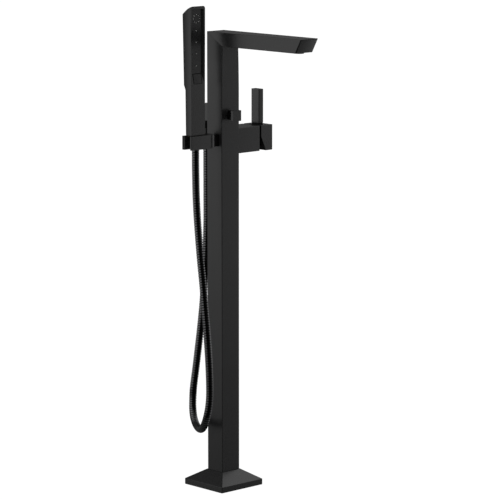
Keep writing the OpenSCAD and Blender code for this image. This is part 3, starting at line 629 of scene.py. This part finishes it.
@dataclass
class Assembly:
    """Pieces that are built and dressed together."""

    shelf: Shelf

    def own(
        self,
        piece: bpy.types.Object,
        nodes: tuple[str, ...],
        body: Body,
        slot: Slot,
        finish: Finish,
    ) -> bpy.types.Object:
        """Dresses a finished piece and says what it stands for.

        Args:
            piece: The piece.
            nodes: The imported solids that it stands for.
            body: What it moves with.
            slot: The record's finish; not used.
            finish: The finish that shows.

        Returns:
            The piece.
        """
        piece.name = f"{nodes[0]}_finished"
        self.shelf.coat(piece, finish)
        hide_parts(*nodes)
        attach(piece, body.value)
        LOG.info("%s: %d faces, %s", nodes[0], len(piece.data.polygons), finish.name)
        return piece

    def soften(
        self,
        node: str,
        body: Body,
        edge: float,
        slot: Slot,
        finish: Finish,
        clamp: bool = True,
    ) -> bpy.types.Object:
        """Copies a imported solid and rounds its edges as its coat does.

        Args:
            node: The solid's name.
            body: What it moves with.
            edge: How far the rounding reaches from an edge, in metres.
            slot: The record's finish.
            finish: The finish that shows.
            clamp: Whether short edges hold the rounding back everywhere.

        Returns:
            The copy, which stands for the solid.
        """
        source = bpy.data.objects[node]
        piece = bpy.data.objects.new(node, source.data.copy())
        bpy.context.scene.collection.objects.link(piece)
        pick(piece)
        bpy.ops.object.mode_set(mode="EDIT")
        bpy.ops.mesh.select_all(action="SELECT")
        bpy.ops.mesh.remove_doubles(threshold=WELD)
        bpy.ops.mesh.dissolve_limited(angle_limit=math.radians(COPLANAR))
        bpy.ops.object.mode_set(mode="OBJECT")
        bevel = piece.modifiers.new("edge", "BEVEL")
        bevel.width = edge
        bevel.segments = 2
        bevel.limit_method = "ANGLE"
        bevel.angle_limit = math.radians(SHARP)
        bevel.use_clamp_overlap = clamp
        bpy.ops.object.modifier_apply(modifier="edge")
        even(piece)
        return self.own(piece, (node,), body, slot, finish)

    def coat(self, finish: Finish, *nodes: str) -> None:
        """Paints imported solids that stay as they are.

        Args:
            finish: Their finish.
            nodes: Their names.
        """
        for node in nodes:
            self.shelf.coat(bpy.data.objects[node], finish)
            LOG.info("%s: %s", node, finish.name)


# Camera and light


@dataclass(frozen=True)
class Glow:
    """A soft field of light on the ring round the object.

    Angles are in degrees, heights and widths in metres.
    """

    azimuth: float
    full: float
    none: float
    low: float
    high: float
    least: float = 0.0
    strength: float = 1.0

    def tone(self, add: Palette, outward: Wire, height: Wire) -> Wire:
        """Adds the field's brightness to a tree.

        Args:
            add: The tree.
            outward: The level direction out to the ring.
            height: The height on the ring.

        Returns:
            The brightness.
        """
        a = math.radians(self.azimuth)
        near = add.dot(outward, (math.cos(a), math.sin(a), 0.0))
        across = near.rise(math.cos(math.radians(self.none)), math.cos(math.radians(self.full)))
        up = self.least + height.rise(self.low, self.high) * (1.0 - self.least)
        return across * up * self.strength


@dataclass(frozen=True)
class Studio:
    """A white studio with the camera where the photograph was taken.

    The camera and the scattered light see plain white. The black paint mirrors a dim
    sky, a little brighter overhead from zenith on, and a ring with three soft fields
    of light. Lengths are in metres, angles in degrees and the lamp's power in watts.
    """

    azimuth: float = -43.19
    elevation: float = 9.33
    distance: float = 6.24908
    target: tuple[float, float, float] = (0.08107, 0.0, 0.52257)
    lens: float = 201.59
    sensor: float = 36
    sight: float = 200
    sides: int = 96
    floor_r: float = 60.0
    floor_tone: float = 0.8
    floor_glow: float = 1.07
    floor_share: float = 0.92
    ring_r: float = 2.0
    ring_low: float = -2.2
    ring_high: float = 3.2
    sky_tone: float = 0.1
    zenith_tone: float = 0.4
    zenith: float = 0.5
    lamp_place: tuple[float, float, float] = (-1.2, -1.6, 4.2)
    lamp_aim: tuple[float, float, float] = (0, 0, 0.5)
    lamp_size: float = 2.4
    lamp_power: float = 20
    back: Glow = Glow(azimuth=47, full=100, none=150, low=-9, high=-8, strength=0.13)
    right: Glow = Glow(azimuth=-8, full=10, none=50, low=-0.35, high=0.2, least=0.38, strength=0.9)
    left: Glow = Glow(azimuth=156, full=22, none=50, low=-0.97, high=0.75, strength=0.95)

    def camera(self) -> None:
        """Places the camera."""
        a, e = math.radians(self.azimuth), math.radians(self.elevation)
        back = Vector((math.sin(a) * math.cos(e), -math.cos(a) * math.cos(e), math.sin(e)))
        bpy.ops.object.camera_add(location=Vector(self.target) + back * self.distance)
        camera = bpy.context.object
        camera.rotation_euler = (-back).to_track_quat("-Z", "Y").to_euler()
        camera.data.sensor_width = self.sensor
        camera.data.lens = self.lens
        camera.data.clip_end = self.sight
        bpy.context.scene.camera = camera

    def world(self) -> None:
        """Makes a sky that is white but for what the paint mirrors."""
        world = bpy.data.worlds.new("studio")
        bpy.context.scene.world = world
        world.use_nodes = True
        add = Palette(world.node_tree)
        where = add.node("ShaderNodeTexCoord", output="Generated")
        up = add.dot(where, Axis.Z.value).rise(self.zenith, 1.0)
        dim = self.sky_tone + up * (self.zenith_tone - self.sky_tone)
        glossy = add.node("ShaderNodeLightPath", output="Is Glossy Ray")
        strength = 1.0 - glossy * (1.0 - dim)
        sky = add.node("ShaderNodeBackground", Color=(1, 1, 1, 1), Strength=strength)
        out = add.tree.nodes.new("ShaderNodeOutputWorld")
        add.tree.links.new(sky.socket, out.inputs["Surface"])

    def floor(self) -> None:
        """Lays a white floor that runs out of sight and keeps the object's shadow.

        The paint doesn't mirror it, so that undersides stay dark, as in the photo.
        """
        bpy.ops.mesh.primitive_circle_add(
            vertices=self.sides, radius=self.floor_r, fill_type="NGON"
        )
        floor = bpy.context.object
        floor.name = "floor"
        floor.visible_glossy = False
        material = bpy.data.materials.new("white_floor")
        material.use_nodes = True
        add = Palette(material.node_tree)
        glow = add.node("ShaderNodeEmission", Color=(1, 1, 1, 1), Strength=self.floor_glow)
        paper = add.node("ShaderNodeBsdfDiffuse", Color=(*[self.floor_tone] * 3, 1))
        seen = add.node("ShaderNodeLightPath", output="Is Camera Ray")
        glossy = add.node("ShaderNodeLightPath", output="Is Glossy Ray")
        mixed = add.tree.nodes.new("ShaderNodeMixShader")
        add.tree.links.new(((seen + glossy) * self.floor_share).socket, mixed.inputs[0])
        add.tree.links.new(paper.socket, mixed.inputs[1])
        add.tree.links.new(glow.socket, mixed.inputs[2])
        out = add.tree.nodes.new("ShaderNodeOutputMaterial")
        add.tree.links.new(mixed.outputs[0], out.inputs["Surface"])
        floor.data.materials.append(material)

    def ring(self) -> None:
        """Stands a ring round the object that only its paint mirrors."""
        height = self.ring_high - self.ring_low
        bpy.ops.mesh.primitive_cylinder_add(
            vertices=self.sides, radius=self.ring_r, depth=height, end_fill_type="NOTHING"
        )
        ring = bpy.context.object
        ring.name = "ring"
        ring.location.z = self.ring_low + height / 2
        bpy.ops.object.transform_apply(location=True)
        for way in ("camera", "diffuse", "transmission", "volume_scatter", "shadow"):
            setattr(ring, f"visible_{way}", False)
        material = bpy.data.materials.new("ring_glow")
        material.use_nodes = True
        add = Palette(material.node_tree)
        where = add.node("ShaderNodeTexCoord", output="Object")
        level = add.node("ShaderNodeMapping", Vector=where, Scale=(1, 1, 0))
        outward = add.node(
            "ShaderNodeVectorMath", {"operation": "NORMALIZE"}, output="Vector", Vector=level
        )
        place = add.dot(where, Axis.Z.value)
        tone = self.back.tone(add, outward, place) + self.right.tone(add, outward, place)
        tone = tone + self.left.tone(add, outward, place)
        glow = add.node("ShaderNodeEmission", Color=(1, 1, 1, 1), Strength=tone)
        out = add.tree.nodes.new("ShaderNodeOutputMaterial")
        add.tree.links.new(glow.socket, out.inputs["Surface"])
        ring.data.materials.append(material)

    def lamp(self) -> None:
        """Hangs a soft lamp overhead that looks at the middle of the object."""
        bpy.ops.object.light_add(type="AREA", location=self.lamp_place)
        lamp = bpy.context.object
        lamp.name = "overhead"
        lamp.data.size = self.lamp_size
        lamp.data.energy = self.lamp_power
        aim = Vector(self.lamp_aim) - Vector(self.lamp_place)
        lamp.rotation_euler = aim.to_track_quat("-Z", "Y").to_euler()
        lamp.visible_glossy = False

    def build(self) -> None:
        """Sets the camera, the world, the floor, the ring and the lamp."""
        self.camera()
        self.world()
        self.floor()
        self.ring()
        self.lamp()
        bpy.context.scene.view_settings.view_transform = "Standard"


# Sub-assemblies


@dataclass
class Base(Assembly):
    """The floor flange with its inlets, under the cover and its seal."""

    cover_edge: float = 0.0004
    plate_edge: float = 0.0005

    def build(self) -> None:
        """Rounds the cover and the flange and coats what is under them."""
        self.soften("base_cover", Body.ROOT, self.cover_edge, Slot.PAINT, PAINT)
        self.soften("floor_flange", Body.ROOT, self.plate_edge, Slot.STEEL, STEEL)
        self.coat(STEEL, "collar_screws")
        self.coat(BRASS, "hot_inlet", "cold_inlet")
        self.coat(RUBBER, "base_seal")


@dataclass
class Column(Assembly):
    """The column with the water ways inside it."""

    edge: float = 0.0003

    def build(self) -> None:
        """Rounds the column's edges and coats the pipes."""
        column = self.soften("column", Body.ROOT, self.edge, Slot.PAINT, PAINT)
        self.shelf.coat_faces(column, COLUMN_SIDE, Way.LEFT, Way.RIGHT)
        self.coat(BRASS, "hot_pipe", "cold_pipe", "manifold", "riser_tube")


@dataclass
class Spout(Assembly):
    """The spout with its end plate and the aerator under its tip.

    Lengths are in metres; the aerator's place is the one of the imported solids.
    """

    edge: float = 0.0003
    plate_edge: float = 0.0006
    plate_spread: float = 0.001
    rim_edge: float = 0.0004
    screen_place: tuple[float, float, float] = (0.0, -0.238, 0.9852)
    screen_r: float = 0.00795
    screen_t: float = 0.0014
    rim_w: float = 0.0012
    rim_sides: int = 40
    wire: float = 0.00022
    holes: int = 14

    def build(self) -> None:
        """Rounds the spout, its end plate and the aerator, and weaves its screen."""
        spout = self.soften("spout", Body.ROOT, self.edge, Slot.PAINT, PAINT)
        self.shelf.coat_faces(spout, SPOUT_SIDE, Way.LEFT, Way.RIGHT)
        plate = self.soften("spout_end_plate", Body.ROOT, self.plate_edge, Slot.TRIM, TIP_PLATE)
        self.spread(plate)
        self.soften("aerator_housing", Body.ROOT, self.rim_edge, Slot.TRIM, TRIM)
        self.coat(BRASS, "aerator_socket")
        self.coat(RUBBER, "aerator_washer")
        pieces = (self.rim(), self.weave())
        pick(*pieces)
        bpy.ops.object.join()
        even(pieces[0])
        self.own(pieces[0], ("aerator_screen",), Body.ROOT, Slot.PLASTIC, PLASTIC)

    def spread(self, plate: bpy.types.Object) -> None:
        """Brings the end plate closer to the lip at its top, right and underside.

        Args:
            plate: The end plate.
        """
        middle = sum((v.co for v in plate.data.vertices), Vector()) / len(plate.data.vertices)
        for vertex in plate.data.vertices:
            away = vertex.co - middle
            vertex.co.z += math.copysign(self.plate_spread, away.z)
            if away.x > 0:
                vertex.co.x += self.plate_spread

    def rim(self) -> bpy.types.Object:
        """Turns the screen's solid rim.

        Returns:
            The rim.
        """
        inner = self.screen_r - self.rim_w
        soft = self.rim_w / 4
        stops = [
            (0.0, inner), (0.0, self.screen_r - soft), (soft, self.screen_r),
            (self.screen_t - soft, self.screen_r), (self.screen_t, self.screen_r - soft),
            (self.screen_t, inner), (0.0, inner),
        ]
        rim = turned(stops, self.rim_sides, Vector(self.screen_place), Axis.Z)
        close(rim)
        return rim

    def weave(self) -> bpy.types.Object:
        """Cuts square holes in a sheet and gives it the wire's thickness.

        Returns:
            The mesh of wires, which reaches under the rim.
        """
        place = Vector(self.screen_place)
        bpy.ops.object.select_all(action="DESELECT")
        bpy.ops.mesh.primitive_grid_add(
            x_subdivisions=self.holes,
            y_subdivisions=self.holes,
            size=2 * self.screen_r,
            location=place + Vector((0, 0, self.screen_t / 2)),
        )
        weave = bpy.context.object
        bpy.ops.object.transform_apply(location=True)
        reach = self.screen_r - self.rim_w / 4
        bpy.ops.object.mode_set(mode="EDIT")
        bpy.ops.mesh.select_mode(type="VERT")
        self._choose(weave, lambda v: (v - place).xy.length > reach)
        bpy.ops.mesh.delete(type="VERT")
        bpy.ops.mesh.select_mode(type="FACE")
        bpy.ops.mesh.select_all(action="SELECT")
        bpy.ops.mesh.inset(thickness=self.wire / 2, use_individual=True, use_boundary=True)
        bpy.ops.mesh.delete(type="FACE")
        bpy.ops.object.mode_set(mode="OBJECT")
        wall = weave.modifiers.new("wire", "SOLIDIFY")
        wall.thickness = self.wire
        wall.offset = 0
        pick(weave)
        bpy.ops.object.modifier_apply(modifier="wire")
        return weave

    @staticmethod
    def _choose(piece: bpy.types.Object, test: Callable[[Vector], bool]) -> None:
        """Selects the points of a piece in edit mode that pass a test.

        Args:
            piece: The piece.
            test: Says of a point's place whether it is selected.
        """
        bpy.ops.mesh.select_all(action="DESELECT")
        bpy.ops.object.mode_set(mode="OBJECT")
        for vertex in piece.data.vertices:
            vertex.select = test(vertex.co)
        bpy.ops.object.mode_set(mode="EDIT")


@dataclass
class Valve(Assembly):
    """The valve's cover with the cartridge and the turning rotor inside."""

    cover_edge: float = 0.0003
    bonnet_edge: float = 0.0004

    def build(self) -> None:
        """Rounds the cover, its end plate and the bonnet, and coats the inside; the end plate and
        the bonnet take painted shade, for the dark gap by the handle.
        """
        self.soften("valve_cover", Body.ROOT, self.cover_edge, Slot.PAINT, PAINT)
        # Painted shade on the end plate and the bonnet, seen through the gap by the handle.
        self.soften("valve_end_plate", Body.ROOT, self.cover_edge, Slot.TRIM, PAINTED_SHADE)
        self.soften("bonnet", Body.ROOT, self.bonnet_edge, Slot.TRIM, PAINTED_SHADE)
        self.coat(BRASS, "valve_core")
        self.coat(RUBBER, "cartridge_seal")
        self.coat(PLASTIC, "cartridge", "rotor")
        self.coat(STEEL, "pivot_pin")


@dataclass
class Handle(Assembly):
    """The handle block that turns and tilts, with its lever.

    The block takes painted shade where it faces the valve across the gap, by at least block_dark,
    a cosine.
    """

    block_edge: float = 0.0003
    block_dark: float = 0.6
    lever_edge: float = 0.0003

    def build(self) -> None:
        """Rounds the block and the lever, gives the block's faces towards the valve and the
        lever's gasket painted shade, and coats the stem.
        """
        block = self.soften("handle_block", Body.HANDLE, self.block_edge, Slot.PAINT, PAINT)
        # Painted shade on the block's faces towards the valve, where the gap is in shade.
        self.shelf.coat_faces(block, PAINTED_SHADE, Way.LEFT, least=self.block_dark)
        lever = self.soften("lever", Body.HANDLE, self.lever_edge, Slot.PAINT, PAINT)
        self.shelf.coat_faces(lever, LEVER_FRONT, Way.FRONT)
        # Painted shade on the gasket at the lever's foot.
        self.coat(PAINTED_SHADE, "lever_gasket")
        self.coat(STEEL, "handle_stem", "handle_screw")


@dataclass
class Diverter(Assembly):
    """The pull knob with its collar and the piston behind it."""

    knob_edge: float = 0.0003
    collar_edge: float = 0.0004

    def build(self) -> None:
        """Rounds the knob and the collar and coats the rest; the collar takes painted shade, for
        the shade between the knob and the column.
        """
        self.soften("diverter_knob", Body.DIVERTER, self.knob_edge, Slot.PAINT, PAINT)
        # Painted shade on the collar, between the knob and the column.
        self.soften("diverter_collar", Body.ROOT, self.collar_edge, Slot.TRIM, PAINTED_SHADE)
        self.coat(STEEL, "diverter_stem")
        self.coat(BRASS, "diverter_bush")
        self.coat(RUBBER, "diverter_seal")


@dataclass
class Outlet(Assembly):
    """The elbow at the back, with the nipple and the nut of the hose."""

    elbow_edge: float = 0.0003
    round_edge: float = 0.0004

    def build(self) -> None:
        """Rounds the elbow, the nipple and the nut; the nipple takes painted shade, for the shade
        under the elbow.
        """
        self.soften("outlet_elbow", Body.ROOT, self.elbow_edge, Slot.PAINT, PAINT)
        # Painted shade on the nipple, under the elbow.
        self.soften("outlet_nipple", Body.ROOT, self.round_edge, Slot.TRIM, PAINTED_SHADE)
        self.soften("outlet_nut", Body.ROOT, self.round_edge, Slot.PAINT, PAINT)
        self.coat(BRASS, "elbow_stud")
        self.coat(RUBBER, "outlet_washer")


@dataclass
class Holder(Assembly):
    """The fork that carries the hand shower, on its neck and collar."""

    fork_edge: float = 0.0003
    collar_edge: float = 0.0004

    def build(self) -> None:
        """Rounds the fork, the collar and the neck; the neck and the fork's top faces take painted
        shade.
        """
        fork = self.soften("holder_fork", Body.ROOT, self.fork_edge, Slot.PAINT, PAINT)
        # Painted shade on the fork's top faces, next to the column.
        self.shelf.coat_faces(fork, PAINTED_SHADE, Way.UP)
        self.shelf.coat_faces(fork, HANDSET_SIDE, Way.LEFT)
        self.shelf.coat_faces(fork, HANDSET_FRONT, Way.FRONT)
        self.soften("holder_collar", Body.ROOT, self.collar_edge, Slot.PAINT, PAINT)
        # Painted shade on the neck, between the fork and the column.
        self.soften("holder_neck", Body.ROOT, self.fork_edge, Slot.TRIM, PAINTED_SHADE)
        self.coat(STEEL, "holder_screw")
        self.coat(RUBBER, "holder_gasket")


@dataclass
class Handset(Assembly):
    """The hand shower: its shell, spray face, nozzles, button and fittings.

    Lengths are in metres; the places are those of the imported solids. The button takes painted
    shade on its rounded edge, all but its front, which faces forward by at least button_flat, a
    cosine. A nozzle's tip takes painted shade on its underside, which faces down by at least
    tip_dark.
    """

    shell_edge: float = 0.0004
    face_edge: float = 0.0002
    button_edge: float = 0.001
    button_flat: float = 0.97
    axis_x: float = -0.0885
    face_y: float = -0.0119
    face_top: float = 1.0695
    face_h: float = 0.137
    face_t: float = 0.0025
    mat_w: float = 0.0223
    mat_t: float = 0.001
    mat_in: float = 0.0014
    ring_z: float = 1.0488
    ring_r: float = 0.0092
    ring_count: int = 8
    rows: tuple[float, ...] = (0.343, 0.521, 0.697, 0.898)
    tip_r: float = 0.0017
    tip_out: float = 0.0012
    tip_hole: float = 0.0005
    tip_sides: int = 24
    tip_smooth: float = 40
    tip_dark: float = 0.5

    def build(self) -> None:
        """Rounds the shell and the button and models the nozzles."""
        shell = self.soften("handset_shell", Body.HANDSET, self.shell_edge, Slot.PAINT, PAINT)
        self.shelf.coat_faces(shell, HANDSET_SIDE, Way.LEFT)
        self.shelf.coat_faces(shell, HANDSET_FRONT, Way.FRONT)
        self.soften("spray_face", Body.HANDSET, self.face_edge, Slot.TRIM, FACE)
        # Painted shade on the button's rounded edge, for the dark groove round it; only its front
        # takes the paint.
        button = self.soften(
            "spray_button", Body.BUTTON, self.button_edge, Slot.PAINT, PAINTED_SHADE, clamp=False
        )
        self.shelf.coat_faces(button, PAINT, Way.FRONT, least=self.button_flat)
        self.soften("handset_nut", Body.HANDSET, self.shell_edge, Slot.PAINT, PAINT)
        self.coat(STEEL, "button_spring")
        self.coat(RUBBER, "handset_foot", "handset_washer")
        self.coat(BRASS, "handset_spigot")
        self.coat(PLASTIC, "handset_waterway")
        self.nozzles()

    def places(self) -> list[Vector]:
        """Where the nozzles stand: a ring at the top and a row below it.

        Returns:
            The middle of each, at the back of the spray face.
        """
        back = self.face_y + self.face_t
        spots = []
        for k in range(self.ring_count):
            a = math.tau * k / self.ring_count
            x = self.axis_x + self.ring_r * math.cos(a)
            spots.append(Vector((x, back, self.ring_z + self.ring_r * math.sin(a))))
        for share in self.rows:
            spots.append(Vector((self.axis_x, back, self.face_top - share * self.face_h)))
        return spots

    def nozzles(self) -> bpy.types.Object:
        """Models one nozzle, copies it to every place and joins the mat behind them.

        Returns:
            The mat with its nozzles.
        """
        out = self.face_t + self.tip_out
        r, hole = self.tip_r, self.tip_hole
        # The rounded rim of the tip and the hole in it, as shares of their radii
        stops = [
            (0.0, r), (-out + 0.4 * r, r), (-out + 0.15 * r, 0.93 * r), (-out, 0.78 * r),
            (-out, 1.3 * hole), (-out + 0.3 * hole, hole), (-out + 1.8 * hole, 0.9 * hole),
        ]
        spots = self.places()
        pieces = [turned(stops, self.tip_sides, spots[0], Axis.Y)]
        close(pieces[0])
        for spot in spots[1:]:
            copy = pieces[0].copy()
            copy.data = pieces[0].data.copy()
            copy.location = spot - spots[0]
            bpy.context.scene.collection.objects.link(copy)
            pieces.append(copy)
        pieces.append(self.mat())
        pick(*pieces)
        bpy.ops.object.join()
        bpy.ops.object.transform_apply(location=True, rotation=True, scale=True)
        even(pieces[0], self.tip_smooth)
        self.own(pieces[0], ("nozzle_mat",), Body.HANDSET, Slot.PLASTIC, SILICONE)
        # Painted shade on the undersides of the nozzle tips.
        self.shelf.coat_faces(pieces[0], PAINTED_SHADE, Way.DOWN, least=self.tip_dark)
        return pieces[0]

    def mat(self) -> bpy.types.Object:
        """Models the mat that holds the nozzles together behind the face.

        Returns:
            The mat.
        """
        height = self.face_h - 2 * self.mat_in
        bpy.ops.object.select_all(action="DESELECT")
        bpy.ops.mesh.primitive_cube_add(
            size=1,
            location=(
                self.axis_x,
                self.face_y + self.face_t + self.mat_t / 2,
                self.face_top - self.face_h / 2,
            ),
            scale=(self.mat_w, self.mat_t, height),
        )
        mat = bpy.context.object
        bpy.ops.object.transform_apply(location=True, rotation=True, scale=True)
        bpy.ops.object.mode_set(mode="EDIT")
        bpy.ops.mesh.select_all(action="SELECT")
        bpy.ops.mesh.bevel(offset=self.mat_t / 4, segments=2, affect="EDGES")
        bpy.ops.object.mode_set(mode="OBJECT")
        return mat


@dataclass
class Hose(Assembly):
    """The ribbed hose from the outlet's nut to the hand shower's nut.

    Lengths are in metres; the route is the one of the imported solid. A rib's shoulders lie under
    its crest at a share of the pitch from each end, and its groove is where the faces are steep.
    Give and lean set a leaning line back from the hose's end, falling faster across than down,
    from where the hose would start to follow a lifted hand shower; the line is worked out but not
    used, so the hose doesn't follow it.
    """

    ribs: int = 240
    sides: int = 16
    diameter: float = 0.0152
    crest: float = 0.0084
    valley: float = 0.0066
    shoulder: float = 0.0083
    shoulder_share: float = 0.2
    steep: float = 0.3
    smooth: float = 35
    seam: float = 1e-5
    steps: int = 16
    give: float = 0.5
    lean: float = 5.0
    route: list[tuple[float, float, float]] = field(default_factory=list)

    def slope(self, i: int, runs: list[float]) -> Vector:
        """The route's direction at a point.

        Args:
            i: The point's number.
            runs: The distance along the route to each point.

        Returns:
            The change of place in a metre of route.
        """
        a, b = max(i - 1, 0), min(i + 1, len(self.route) - 1)
        step = Vector(self.route[b]) - Vector(self.route[a])
        return step / (runs[b] - runs[a])

    def line(self) -> bpy.types.Object:
        """Draws the route as one smooth curve.

        Returns:
            The curve.
        """
        bpy.ops.curve.primitive_bezier_curve_add(location=(0, 0, 0))
        curve = bpy.context.object
        spline = curve.data.splines[0]
        spline.bezier_points.add(len(self.route) - 2)
        runs = [0.0]
        for one, two in zip(self.route, self.route[1:]):
            runs.append(runs[-1] + (Vector(two) - Vector(one)).length)
        for i, point in enumerate(spline.bezier_points):
            before = runs[i] - runs[max(i - 1, 0)]
            after = runs[min(i + 1, len(runs) - 1)] - runs[i]
            point.handle_left_type = point.handle_right_type = "FREE"
            point.co = self.route[i]
            point.handle_left = point.co - self.slope(i, runs) * before / 3
            point.handle_right = point.co + self.slope(i, runs) * after / 3
        curve.data.resolution_u = self.steps
        curve.data.twist_mode = "MINIMUM"
        curve.data.use_stretch = True
        curve.data.use_deform_bounds = True
        return curve

    def path(self, curve: bpy.types.Object) -> list[Vector]:
        """Reads points along the curve.

        Args:
            curve: The route's curve.

        Returns:
            The points, close together.
        """
        pick(curve)
        bpy.ops.object.duplicate()
        copy = bpy.context.object
        bpy.ops.object.convert(target="MESH")
        points = [v.co.copy() for v in bpy.context.object.data.vertices]
        bpy.data.objects.remove(copy)
        return points

    def rib(self, pitch: float) -> bpy.types.Object:
        """Turns one rib with rounded shoulders.

        Args:
            pitch: The distance from rib to rib.

        Returns:
            The rib, open at both ends, with its groove faces in the second slot, for painted
            shade.
        """
        near, far = self.shoulder_share, 1 - self.shoulder_share
        shares = [
            (0.0, self.valley), (near, self.shoulder), (1 / 2, self.crest),
            (far, self.shoulder), (1.0, self.valley),
        ]
        stops = [(share * pitch, radius) for share, radius in shares]
        rib = turned(stops, self.sides, Vector((0, 0, 0)), Axis.Z)
        for _ in range(2):
            rib.data.materials.append(None)
        for face in rib.data.polygons:
            face.material_index = int(abs(face.normal.z) > self.steep)
        return rib

    def build(self) -> bpy.types.Object:
        """Winds the hose along its route.

        Returns:
            The hose.
        """
        curve = self.line()
        points = self.path(curve)
        length = sum((b - a).length for a, b in zip(points, points[1:]))
        hose = self.rib(length / self.ribs)
        hose.name = "ribbed_hose"
        pick(hose)
        array = hose.modifiers.new("ribs", "ARRAY")
        array.count = self.ribs
        array.use_relative_offset = False
        array.use_constant_offset = True
        array.constant_offset_displace = (0, 0, length / self.ribs)
        array.use_merge_vertices = True
        array.merge_threshold = self.seam
        bend = hose.modifiers.new("route", "CURVE")
        bend.object = curve
        bend.deform_axis = "POS_Z"
        bpy.ops.object.modifier_apply(modifier="ribs")
        bpy.ops.object.modifier_apply(modifier="route")
        close(hose, self.seam)
        pick(hose)
        bpy.ops.object.shade_smooth_by_angle(angle=math.radians(self.smooth))
        bpy.data.objects.remove(curve)
        # The grooves between the ribs take painted shade.
        self.shelf.coat(hose, HOSE_COVER, PAINTED_SHADE)
        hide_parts("hose")
        self.lift()
        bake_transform(hose)
        LOG.info("hose: %.3f m, %d ribs", length, self.ribs)
        return hose

    def lift(self) -> tuple[Vector, Vector]:
        """Where the hose would start to follow a lifted hand shower, and where it would follow it
        fully. Build works it out but doesn't use it.

        Returns:
            The start and the end of the leaning line between them.
        """
        end = Vector(self.route[-1])
        across = end - Vector(self.route[0])
        across.z = 0
        lean = across.normalized() * self.lean + Vector((0, 0, 1))
        return end - lean * (self.give / lean.length_squared), end


ROUTE = [
    (0, 0.053, 0.775), (0, 0.053, 0.745), (0, 0.053, 0.7), (0, 0.053, 0.65), (0, 0.053, 0.6),
    (-0.001, 0.054, 0.55), (-0.003, 0.055, 0.5), (-0.006, 0.056, 0.45), (-0.01, 0.057, 0.4),
    (-0.015, 0.059, 0.35), (-0.022, 0.06, 0.3), (-0.0281, 0.0609, 0.258),
    (-0.0335, 0.0626, 0.2179), (-0.0345, 0.0639, 0.1923), (-0.0391, 0.0591, 0.1706),
    (-0.0467, 0.0473, 0.1523), (-0.0558, 0.0294, 0.1399), (-0.0661, 0.0078, 0.1359),
    (-0.0767, -0.0137, 0.1414), (-0.0857, -0.0318, 0.1559), (-0.09, -0.0446, 0.1773),
    (-0.0894, -0.0499, 0.2012), (-0.0879, -0.0508, 0.228), (-0.088, -0.05, 0.27),
    (-0.0885, -0.047, 0.32), (-0.0885, -0.042, 0.37), (-0.0885, -0.036, 0.42),
    (-0.0885, -0.03, 0.47), (-0.0885, -0.023, 0.52), (-0.0885, -0.017, 0.57),
    (-0.0885, -0.012, 0.62), (-0.0885, -0.009, 0.665), (-0.0885, -0.008, 0.7),
    (-0.0885, -0.0074, 0.732), (-0.0885, -0.0074, 0.749), (-0.0885, -0.0074, 0.764),
]


def main() -> None:
    logging.basicConfig(level=logging.INFO, format="%(message)s")
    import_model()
    Studio().build()
    shelf = Shelf()
    for assembly in (Base, Column, Spout, Valve, Handle, Diverter, Outlet, Holder, Handset):
        assembly(shelf).build()
    Hose(shelf, route=ROUTE).build()


if __name__ == "__main__":
    main()
